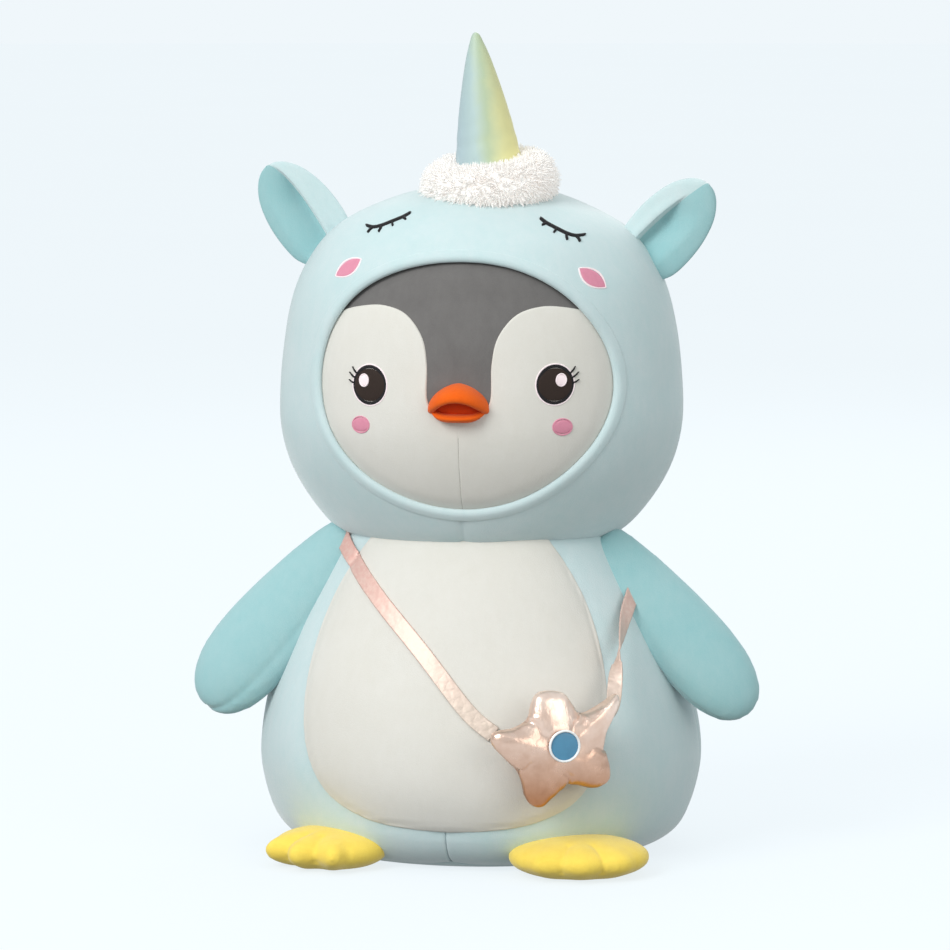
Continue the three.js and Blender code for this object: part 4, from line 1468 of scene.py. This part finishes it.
@dataclass
class Ear:
    """A padded ear: pale behind, deeper blue in front as painted shade of its hollow, folded along a line
    from its base.
    """

    side: float
    name: str
    crease: tuple[Pair, Pair]
    splay: float = math.radians(39.0)
    seat: Pair = (99.0, 368.0)
    outline: Line = Line(((15.0, -8), (20.5, 2), (22.0, 16), (21.0, 30), (17.5, 43), (12.0, 52), (6.0, 57),
                          (0, 58.5)))
    puff: float = 6.5
    hollow: float = 9.0

    def frame(self) -> Matrix:
        """From the ear's own axes, X across, Y back and Z along, to the toy's."""
        flat = on_hood(self.side * self.seat[0], self.seat[1])
        splay = self.side * self.splay + HOOD_ROLL
        along = Vector((math.sin(splay), 0.0, math.cos(splay)))
        back = Vector((0.0, 1.0, 0.0))
        across = back.cross(along)
        turn = Matrix((across, back, along)).transposed().to_4x4()
        return Matrix.Translation(Vector((flat.x, -4.0, flat.y))) @ turn

    def build(self, wardrobe: Wardrobe) -> None:
        """Makes the lining and the outer side."""
        stand = self.frame()
        (base_u, tip_u), (top, _) = self.crease

        def face(u: float, height: float, width: float) -> float:
            """How far the front of the ear stands forward at a place across it."""
            share = max(height, 0.0) / 58.5
            at = base_u + (tip_u - base_u) * share
            deep = self.hollow * (1.0 - blend_between(0.45 * top, top, share)) * (width / 22.0)
            away = (u - at) * self.side
            round_edge = math.sqrt(max(1.0 - u * u, 0.0))
            outer = -deep * (1.0 - blend_between(0.0, 0.95, away)) if away > 0.0 else 0.0
            inner = -deep * (1.0 - blend_between(0.0, 0.10, -away)) if away <= 0.0 else 0.0
            lip = 1.6 * math.exp(-((away + 0.17) / 0.16) ** 2) * (1.0 - blend_between(0.5 * top, top, share))
            return 0.55 * self.puff * round_edge + (outer + inner) * round_edge + lip * round_edge

        def section(u: float, along: float, front: bool) -> Vector:
            """A point of the ear's front or back, at a place across it."""
            width, height = self.outline.at(along)
            full = self.puff * max(1.0 - u * u, 0.0) ** 0.6 * blend_between(0.0, 12.0, width)
            depth = -face(u, height, width) if front else full
            return stand @ Vector((u * width, depth, height))

        def fold(along: float) -> float:
            """Where the fold lies across the ear."""
            height = self.outline.at(along).y
            return base_u + (tip_u - base_u) * min(max(height, 0.0) / 58.5, 1.0)

        def lining(across: float, along: float) -> Vector:
            """A point of the lining, from the fold to the edge away from the head."""
            at = fold(along)
            return section(at + (self.side - at) * crowd(across), along, True)

        def outer(across: float, along: float) -> Vector:
            """A point of the outer side: over the back, round the edge and in to the fold."""
            if across < 0.6:
                return section(self.side * (1.0 - 2.0 * crowd(across / 0.6)), along, False)
            share = crowd((across - 0.6) / 0.4)
            return section(-self.side + (fold(along) + self.side) * share, along, True)

        seat = stand.translation
        far = stand @ Vector((0.0, 0.0, 26.0))
        # The lining's deeper teal velour is painted shade: it stands in for the shade inside the ear's fold.
        for kind, cloth, place in (("lining", Cloth.TEAL, lining), ("outer", Cloth.BLUE, outer)):
            piece = finish_mesh(laid_grid(96, 48, place), f"ear_{self.name}_{kind}", False)
            self.point_outward(piece, kind == "lining")
            settle_in(thicken(piece, 1.0), wardrobe, cloth, f"ear_{self.name}", (f"ear_{self.name}_{kind}",),
                      (seat, far))

    @staticmethod
    def point_outward(piece: bpy.types.Object, front: bool) -> None:
        """Turns an open skin's faces to the front, or to the back where it has most of its faces."""
        back = [polygon for polygon in piece.data.polygons if front or polygon.index % 96 < 50]
        total = sum((polygon.normal.y * polygon.area for polygon in back), 0.0)
        if (total > 0.0) == front:
            piece.data.flip_normals()


# ---------------------------------------------------------------- wings


@dataclass
class Wing:
    """A stuffed wing, sewn on at the shoulder, with a seam along both edges."""

    side: float
    name: str
    seat: Vector = field(default_factory=lambda: Vector((85.0, -30.0, 183.0)))
    seams: Pair = (math.pi / 2.0, -math.pi / 2.0)
    broad: float = 1.0
    droop: float = 0.855
    twist: float = 0.5
    form: Turned = Turned(Line(((0, -15), (14, -12), (19.0, 3), (23.0, 28), (25.8, 55), (26.6, 80),
                                (24.2, 102), (17.5, 118), (9, 125.6), (0, 128))), 0.56)

    def frame(self) -> Matrix:
        """From the wing's own axes, with Z along it, to the toy's."""
        side = self.side
        along = Vector((side * math.cos(self.droop), 0.0, -math.sin(self.droop)))
        outward = Vector((side * math.sin(self.droop), 0.0, math.cos(self.droop)))
        facing = FRONT * math.cos(self.twist) + outward * math.sin(self.twist)
        turn = Matrix((facing.cross(along), facing, along)).transposed().to_4x4()
        return Matrix.Translation(Vector((side * self.seat.x, self.seat.y, self.seat.z))) @ turn

    def build(self, wardrobe: Wardrobe) -> None:
        """Makes the wing."""
        stand = self.frame()

        def place(across: float, along: float) -> Vector:
            """A point of the wing's cover before it is filled."""
            point = self.form.point(math.tau * across, along)
            return stand @ Vector((point.x * self.broad, point.y, point.z))

        wing = finish_mesh(laid_grid(48, 40, place, 0.05), f"wing_{self.name}")
        edges = [[stand @ self.form.point(angle, 0.16 + 0.84 * i / 300) for i in range(301)]
                 for angle in self.seams]
        seam = Seam(edges)
        root = stand.translation
        along = stand.col[2].xyz
        Stuffing(voxel=3.0, cap=3.0).fill(
            wing, lambda point: seam.distance(point) < 2.2 or (point - root).dot(along) < 12.0)
        press(wing, seam, 1.3, 1.7, 0.7, 8.0)
        body = f"wing_{self.name}"
        parts = [f"{body}_{part}" for part in ("top", "under", "stuffing")]
        settle_in(wing, wardrobe, Cloth.TEAL, body, parts, (root - along * 6.0, root + along * 34.0))


# ---------------------------------------------------------------- feet


@dataclass
class Foot:
    """A padded foot with three toes, drawn apart by two stitched lines."""

    side: float
    name: str
    at: Pair
    turn: float
    half: tuple[float, float, float] = (39.5, 36.0, 12.5)
    reach: float = 14.0
    middle: float = 10.5
    apart: float = math.pi / 5.0
    bulge: float = 0.09
    groove: tuple[float, float, float, float] = (1.1, 1.9, 1.3, 8.0)

    def frame(self) -> Matrix:
        """From the foot's own axes to the toy's."""
        return (Matrix.Translation(Vector((self.at[0], self.at[1], 0.0)))
                @ Matrix.Rotation(self.side * self.turn, 4, "Z"))

    def build(self, wardrobe: Wardrobe) -> None:
        """Makes the foot."""
        stand = self.frame()

        def outline(angle: float) -> float:
            """The toes' bulge at an angle from the front."""
            in_toes = blend_between(1.75, 1.45, abs(angle) / self.apart)
            return 1.0 + self.bulge * (in_toes * math.cos(math.tau * angle / self.apart) - (1.0 - in_toes))

        def local(angle: float, rise: float) -> Vector:
            """A point of the foot in its own axes."""
            bulge = 1.0 + (outline(angle) - 1.0) * math.cos(rise) ** 0.5 if math.cos(rise) > 1e-6 else 1.0
            flat = math.copysign(abs(math.sin(rise)) ** 0.9, math.sin(rise)) * self.half[2]
            height = max(flat + self.middle, 0.6)
            return Vector((self.half[0] * bulge * math.cos(rise) * math.sin(angle),
                           -self.half[1] * bulge * math.cos(rise) * math.cos(angle) - self.reach, height))

        def place(across: float, along: float) -> Vector:
            """A point of the foot's cover before it is filled."""
            return stand @ local((across - 0.5) * math.tau, (along - 0.5) * math.pi)

        foot = finish_mesh(laid_grid(96, 32, place, 0.05), f"foot_{self.name}")
        lines = [[stand @ local(sign * self.apart * 0.5, -0.35 + 1.35 * i / 120) for i in range(121)]
                 for sign in (1.0, -1.0)]
        seam = Seam(lines)
        hem = Seam([[stand @ local(angle / 60.0 * math.pi, -0.62) for angle in range(-60, 61)]])
        Stuffing(voxel=2.0, cap=2.4).fill(
            foot, lambda point: seam.distance(point) < 2.0 or hem.distance(point) < 2.0 or point.z < 1.2)
        press(foot, seam, *self.groove)
        for vertex in foot.data.vertices:
            vertex.co.z = max(vertex.co.z, 0.3 * MM)
        body = f"foot_{self.name}"
        parts = [f"{body}_{part}" for part in ("top", "sole", "stuffing")]
        hinge = (stand @ Vector((0.0, 14.0, 10.0)), stand @ Vector((0.0, -16.0, 10.0)))
        settle_in(foot, wardrobe, Cloth.YELLOW, body, parts, hinge)


# ---------------------------------------------------------------- star bag and strap


@dataclass
class Bag:
    """The star bag, its badge and its ribbon."""

    body: Surface
    centre: Vector = field(default_factory=lambda: Vector((54.9, -115.3, 79.0)))
    facing: float = math.radians(24.0)
    thickness: float = 12.0
    outline: Line = Line((
        (-36.8, 12.4), (-39.6, 8.2), (-38.4, 3.8), (-31.1, -4.0), (-24.4, -10.6), (-21.4, -17), (-19.2, -26),
        (-15.2, -31.4), (-9.4, -32.4), (-3.6, -28.2), (7.0, -20.6), (21.0, -23.0), (28.4, -21.4),
        (32.2, -16.4), (31.2, -8.4), (28.6, 1.0), (29.6, 8.6), (33.6, 17.0), (37.4, 26.4), (35.6, 31.6),
        (30.6, 28.0), (18.4, 21.6), (12.4, 21.8), (8.4, 27.6), (3.6, 33.0), (-4.0, 34.8), (-12.0, 33.4),
        (-15.6, 26.6), (-17.6, 19.0), (-25.4, 14.2)), True)
    badge: Pair = (1.0, 4.1)
    ribbon: float = 10.0
    ribbon_thickness: float = 0.9

    def frame(self) -> Matrix:
        """From the star's own axes, X across, Y up and Z out, to the toy's."""
        across = Vector((math.cos(self.facing), math.sin(self.facing), 0.0))
        out = across.cross(UP)
        turn = Matrix((across, UP, out)).transposed().to_4x4()
        return Matrix.Translation(self.centre + out * (self.thickness + 1.5)) @ turn

    def build(self, wardrobe: Wardrobe) -> None:
        """Makes the star, the badge and the ribbon."""
        self.build_star(wardrobe)
        self.build_badge(wardrobe)
        self.build_ribbon(wardrobe)

    def build_star(self, wardrobe: Wardrobe) -> None:
        """The star: two flat stars sewn together and filled."""
        stand = self.frame()
        corners = self.outline.sampled(240)
        centre = Vector((0.0, 0.0))

        def place(across: float, along: float) -> Vector:
            """A point of the cover: the front from the middle to the edge, then the back."""
            corner = corners[round(across * 240) % 240]
            front = along < 0.5
            share = along * 2.0 if front else 2.0 - along * 2.0
            flat = centre.lerp(corner, 1.035 * math.sin(math.pi / 2.0 * share))
            reach = corner.length
            crown = self.thickness * math.cos(math.pi / 2.0 * share) ** 0.7
            crown *= 0.82 + 0.1 * (reach / 38.0)
            return stand @ Vector((flat.x, flat.y, crown if front else -crown * 0.62))

        star = finish_mesh(laid_grid(240, 48, place, 0.05), "star_bag")
        edge = Seam([[stand @ Vector((p.x, p.y, 0.0)) for p in self.outline.sampled(900)]])
        Stuffing(voxel=1.3, cap=3.2, pressure=6.0).fill(star, lambda point: edge.distance(point) < 1.2)
        press(star, edge, 0.7, 1.1)
        self.crease(star, stand)
        for vertex in star.data.vertices:
            point = vertex.co / MM
            near = self.body.over(point)
            normal = self.body.normal(point)
            gap = (point - near).dot(normal)
            if gap < 0.5:
                vertex.co = (point + normal * (0.5 - gap)) * MM
        settle_in(star, wardrobe, Cloth.FOIL, "bag", ("star_front", "star_back", "star_stuffing"))

    def crease(self, star: bpy.types.Object, stand: Matrix) -> None:
        """Creases that run from the inner corners of the star towards its middle."""
        starts = (Vector((-17.6, 18.0)), Vector((13.0, 20.6)), Vector((28.0, 0.5)), Vector((6.6, -19.6)),
                  Vector((-23.6, -10.4)))
        inverse = stand.inverted()
        normals = [vertex.normal.copy() for vertex in star.data.vertices]
        for vertex, normal in zip(star.data.vertices, normals):
            local = inverse @ (vertex.co / MM)
            if local.z <= 0.0:
                continue
            flat = local.xy
            sink = 0.0
            for number, start in enumerate(starts):
                inward = -start.normalized()
                along = (flat - start).dot(inward)
                across = (flat - start).dot(Vector((-inward.y, inward.x)))
                if -2.0 < along < 15.0:
                    wander = 1.2 * math.sin(along * 0.5 + number)
                    fade = blend_between(15.0, 3.0, along)
                    sink += fade * (1.0 * math.exp(-((across - wander) / 1.9) ** 2)
                                    - 0.4 * math.exp(-((across - wander - 3.4) / 2.2) ** 2))
            wrinkle = 0.25 * waver(Vector((flat.x, flat.y * 1.8, 0.0)), 9.0, 4.0)
            vertex.co -= normal * (sink + wrinkle) * MM

    def build_badge(self, wardrobe: Wardrobe) -> None:
        """The round badge: an enamelled disc in a raised rim."""
        stand = self.frame() @ Matrix.Translation(Vector((*self.badge, self.thickness - 0.2)))

        def disc(across: float, along: float) -> Vector:
            """A point of the disc, domed a little and closed behind."""
            angle = math.tau * across
            section = Line(((0, 1.5), (4.0, 1.45), (7.4, 1.2), (8.3, 0.9), (8.4, 0.2), (4.0, 0.0), (0, 0)))
            radius, height = section.at(along)
            return stand @ Vector((radius * math.cos(angle), radius * math.sin(angle), height))

        def rim(across: float, along: float) -> Vector:
            """A point of the rim, a round-topped ring."""
            angle, turn = math.tau * across, math.tau * along
            radius = 9.05 + 0.75 * math.cos(turn)
            return stand @ Vector((radius * math.cos(angle), radius * math.sin(angle),
                                   1.0 + 1.1 * math.sin(turn)))

        for name, shape, cloth in (("badge_disc", laid_grid(64, 24, disc), Cloth.BADGE),
                                   ("badge_rim", laid_grid(72, 14, rim), Cloth.RIM)):
            settle_in(finish_mesh(shape, name), wardrobe, cloth, "bag", (name,))

    def lay(self, name: str, middle: Callable[[float], Vector], grid: tuple[int, int],
            lift: Callable[[float], float], crinkled: float = 0.0) -> bpy.types.Object:
        """Lays a stretch of ribbon over the body.

        Args:
            name: The piece's name.
            middle: Its middle line on the body, by share along it.
            grid: Faces across and along it.
            lift: How far it stands off the body at a share along it.
            crinkled: Height of its small waves.

        Returns:
            The piece.
        """
        def place(across: float, along: float) -> Vector:
            """A point of the ribbon."""
            here = middle(along)
            out = self.body.normal(here)
            half = self.ribbon * (across - 0.5)
            side = ahead_of(middle, along).cross(out).normalized()
            crinkle = crinkled * waver(here + side * half, 3.2, 9.0)
            return self.body.over(here + side * half, lift(along)) + out * crinkle

        return finish_mesh(laid_grid(*grid, place), name)

    def build_ribbon(self, wardrobe: Wardrobe) -> None:
        """The ribbon: down the front, up the side and round the back."""
        front = Line(((-84, 196), (-80, 192), (-70, 181), (-50, 160), (-22, 131.5), (6, 99), (22, 86)))

        def on_body(share: float) -> Vector:
            """The front stretch's middle line."""
            return self.body.front(*front.at(share))

        piece = self.lay("strap_front", on_body, (14, 150),
                         lambda share: 2.0 + 0.6 * blend_between(0.85, 1.0, share), 0.16)
        settle_in(thicken(piece, self.ribbon_thickness), wardrobe, Cloth.RIBBON, "bag", ("strap_front",),
                  bend=(on_body(0.0), on_body(0.18)))

        side = Line(((89, -109, 98), (92, -107, 105), (93.1, -92, 124.6), (94.9, -63, 147.5),
                     (97.5, -46, 160), (99, -34, 168)))

        def hang(across: float, along: float) -> Vector:
            """A point of the free stretch, which twists half round on its way up."""
            here = side.at(along)
            out = self.body.normal(here)
            level = ahead_of(side.at, along).cross(out).normalized()
            turn = math.pi * blend_between(0.1, 0.72, along)
            tilted = level * math.cos(turn) + out * math.sin(turn)
            return here + tilted * self.ribbon * (0.85 + 0.15 * along) * (across - 0.5)

        piece = finish_mesh(laid_grid(14, 120, hang), "strap_side")
        settle_in(thicken(piece, self.ribbon_thickness), wardrobe, Cloth.RIBBON, "bag", ("strap_side",))
        self.build_back_ribbon(wardrobe)

    def build_back_ribbon(self, wardrobe: Wardrobe) -> None:
        """The stretch behind the toy, from under the left wing to the right shoulder."""
        route = Line(((106, -33, 168), (108, 0, 176), (88, 45, 178.5), (50, 74, 178), (0, 84, 180),
                      (-50, 72, 186), (-84, 33, 190), (-92, 0, 191.5), (-86, -24, 194)))

        def place(across: float, along: float) -> Vector:
            """A point of the ribbon."""
            here = self.body.over(route.at(along))
            side = ahead_of(route.at, along).cross(self.body.normal(here)).normalized()
            return self.body.over(here + side * self.ribbon * (across - 0.5), 1.5)

        piece = finish_mesh(laid_grid(10, 200, place), "strap_back")
        settle_in(thicken(piece, self.ribbon_thickness), wardrobe, Cloth.RIBBON, "root", ("strap_back",))


# ---------------------------------------------------------------- studio


@dataclass
class Studio:
    """A pale floor, soft light and the camera."""

    aim: Vector = field(default_factory=lambda: Vector((-3.4, -2.7, 228.6)))
    azimuth: float = math.radians(7.0)
    elevation: float = math.radians(6.0)
    distance: float = 3000.0
    width: float = 584.2
    room: float = 30000.0

    def build(self) -> None:
        """Sets the stage."""
        self.build_camera()
        self.build_floor()
        self.build_backdrop()
        self.build_lights()
        bpy.context.scene.view_settings.view_transform = "Standard"

    def build_camera(self) -> None:
        """The camera, at a little above the toy's middle and round to its left."""
        data = bpy.data.cameras.new("camera")
        data.sensor_width = 36.0
        data.lens = data.sensor_width * self.distance / self.width
        data.clip_end = 300.0
        camera = bpy.data.objects.new("camera", data)
        bpy.context.scene.collection.objects.link(camera)
        back = Vector((math.sin(self.azimuth) * math.cos(self.elevation),
                       -math.cos(self.azimuth) * math.cos(self.elevation), math.sin(self.elevation)))
        camera.location = (self.aim + back * self.distance) * MM
        camera.rotation_euler = (-back).to_track_quat("-Z", "Y").to_euler()
        bpy.context.scene.camera = camera

    def build_floor(self) -> None:
        """A pale floor that carries only a faint shadow."""
        shape = bmesh.new()
        bmesh.ops.create_circle(shape, cap_ends=True, segments=96, radius=self.room)
        floor = finish_mesh(shape, "floor", False)
        graph = Graph("pale_floor")
        tone = graph.mottle(900.0, 1.0)
        glow = graph.mix(tone, linear("eff6fa"), linear("f0f7fb"))
        graph.surface(base_color=linear("6e7274"), roughness=1.0, specular_ior_level=0.0,
                      emission_color=glow, emission_strength=0.86)
        floor.data.materials.append(graph.material)
        floor.visible_diffuse = False

    def build_backdrop(self) -> None:
        """A pale round wall, far behind everything, that only the camera sees."""
        def place(across: float, along: float) -> Vector:
            """A point of the wall."""
            angle, rise = math.tau * across, math.pi / 2.0 * along
            return Vector((self.room * math.cos(angle) * math.cos(rise),
                           self.room * math.sin(angle) * math.cos(rise), self.room * math.sin(rise) - 10.0))

        wall = finish_mesh(laid_grid(96, 24, place), "backdrop", False)
        for light in ("diffuse", "glossy", "transmission", "volume_scatter", "shadow"):
            setattr(wall, f"visible_{light}", False)
        graph = Graph("pale_backdrop")
        graph.surface(base_color=(0.0, 0.0, 0.0, 1.0), roughness=1.0, specular_ior_level=0.0,
                      emission_color=linear("f0f7fb"), emission_strength=1.0)
        wall.data.materials.append(graph.material)

    def build_lights(self) -> None:
        """A large key light from the front left, a fill from the right and an even sky."""
        for name, place, size, power, colour in (
                ("key", (-1500.0, -2300.0, 1900.0), 1.5, 65.0, (1.0, 0.99, 0.97)),
                ("fill", (1900.0, -1700.0, 900.0), 1.6, 12.0, (1.0, 0.95, 0.88)),
                ("back", (300.0, 2200.0, 1900.0), 1.8, 16.0, (0.94, 0.98, 1.0))):
            data = bpy.data.lights.new(name, "AREA")
            data.size = size
            data.energy = power
            data.color = colour
            light = bpy.data.objects.new(name, data)
            bpy.context.scene.collection.objects.link(light)
            light.location = Vector(place) * MM
            aim = (Vector((0.0, 0.0, 230.0)) * MM - light.location).normalized()
            light.rotation_euler = aim.to_track_quat("-Z", "Y").to_euler()
        world = bpy.data.worlds.new("sky")
        world.use_nodes = True
        nodes, links = world.node_tree.nodes, world.node_tree.links
        sky = nodes["Background"]
        sky.inputs["Color"].default_value = linear("eef4f6")
        direction = nodes.new("ShaderNodeTexCoord")
        height = nodes.new("ShaderNodeSeparateXYZ")
        bright = nodes.new("ShaderNodeMapRange")
        for name, value in (("From Min", -0.5), ("From Max", 0.5), ("To Min", 0.30), ("To Max", 0.86)):
            bright.inputs[name].default_value = value
        links.new(direction.outputs["Generated"], height.inputs[0])
        links.new(height.outputs["Z"], bright.inputs["Value"])
        links.new(bright.outputs[0], sky.inputs["Strength"])
        bpy.context.scene.world = world


def main() -> None:
    """Builds the toy."""
    logging.basicConfig(level=logging.INFO, format="%(name)s: %(message)s")
    Studio().build()
    wardrobe = Wardrobe()
    body = Body()
    body.build(wardrobe)
    hood = Hood()
    hood.build(wardrobe)
    face = Face(hood.surface)
    face.build(wardrobe)
    Beak(face.surface).build(wardrobe)
    Horn(hood.surface).build(wardrobe)
    Ear(1.0, "left", ((-0.46, -0.2), (0.8, 0.0))).build(wardrobe)
    Ear(-1.0, "right", ((0.14, 0.34), (1.05, 0.0))).build(wardrobe)
    Wing(1.0, "left").build(wardrobe)
    Wing(-1.0, "right", seams=(2.2, -1.3), broad=1.12).build(wardrobe)
    Foot(1.0, "left", (69.0, -87.0), 0.16, half=(43.5, 38.0, 12.5), bulge=0.03,
         groove=(1.1, 1.4, 0.7, 6.0)).build(wardrobe)
    Foot(-1.0, "right", (-74.0, -76.0), 0.5).build(wardrobe)
    Bag(body.surface).build(wardrobe)


if __name__ == "__main__":
    main()
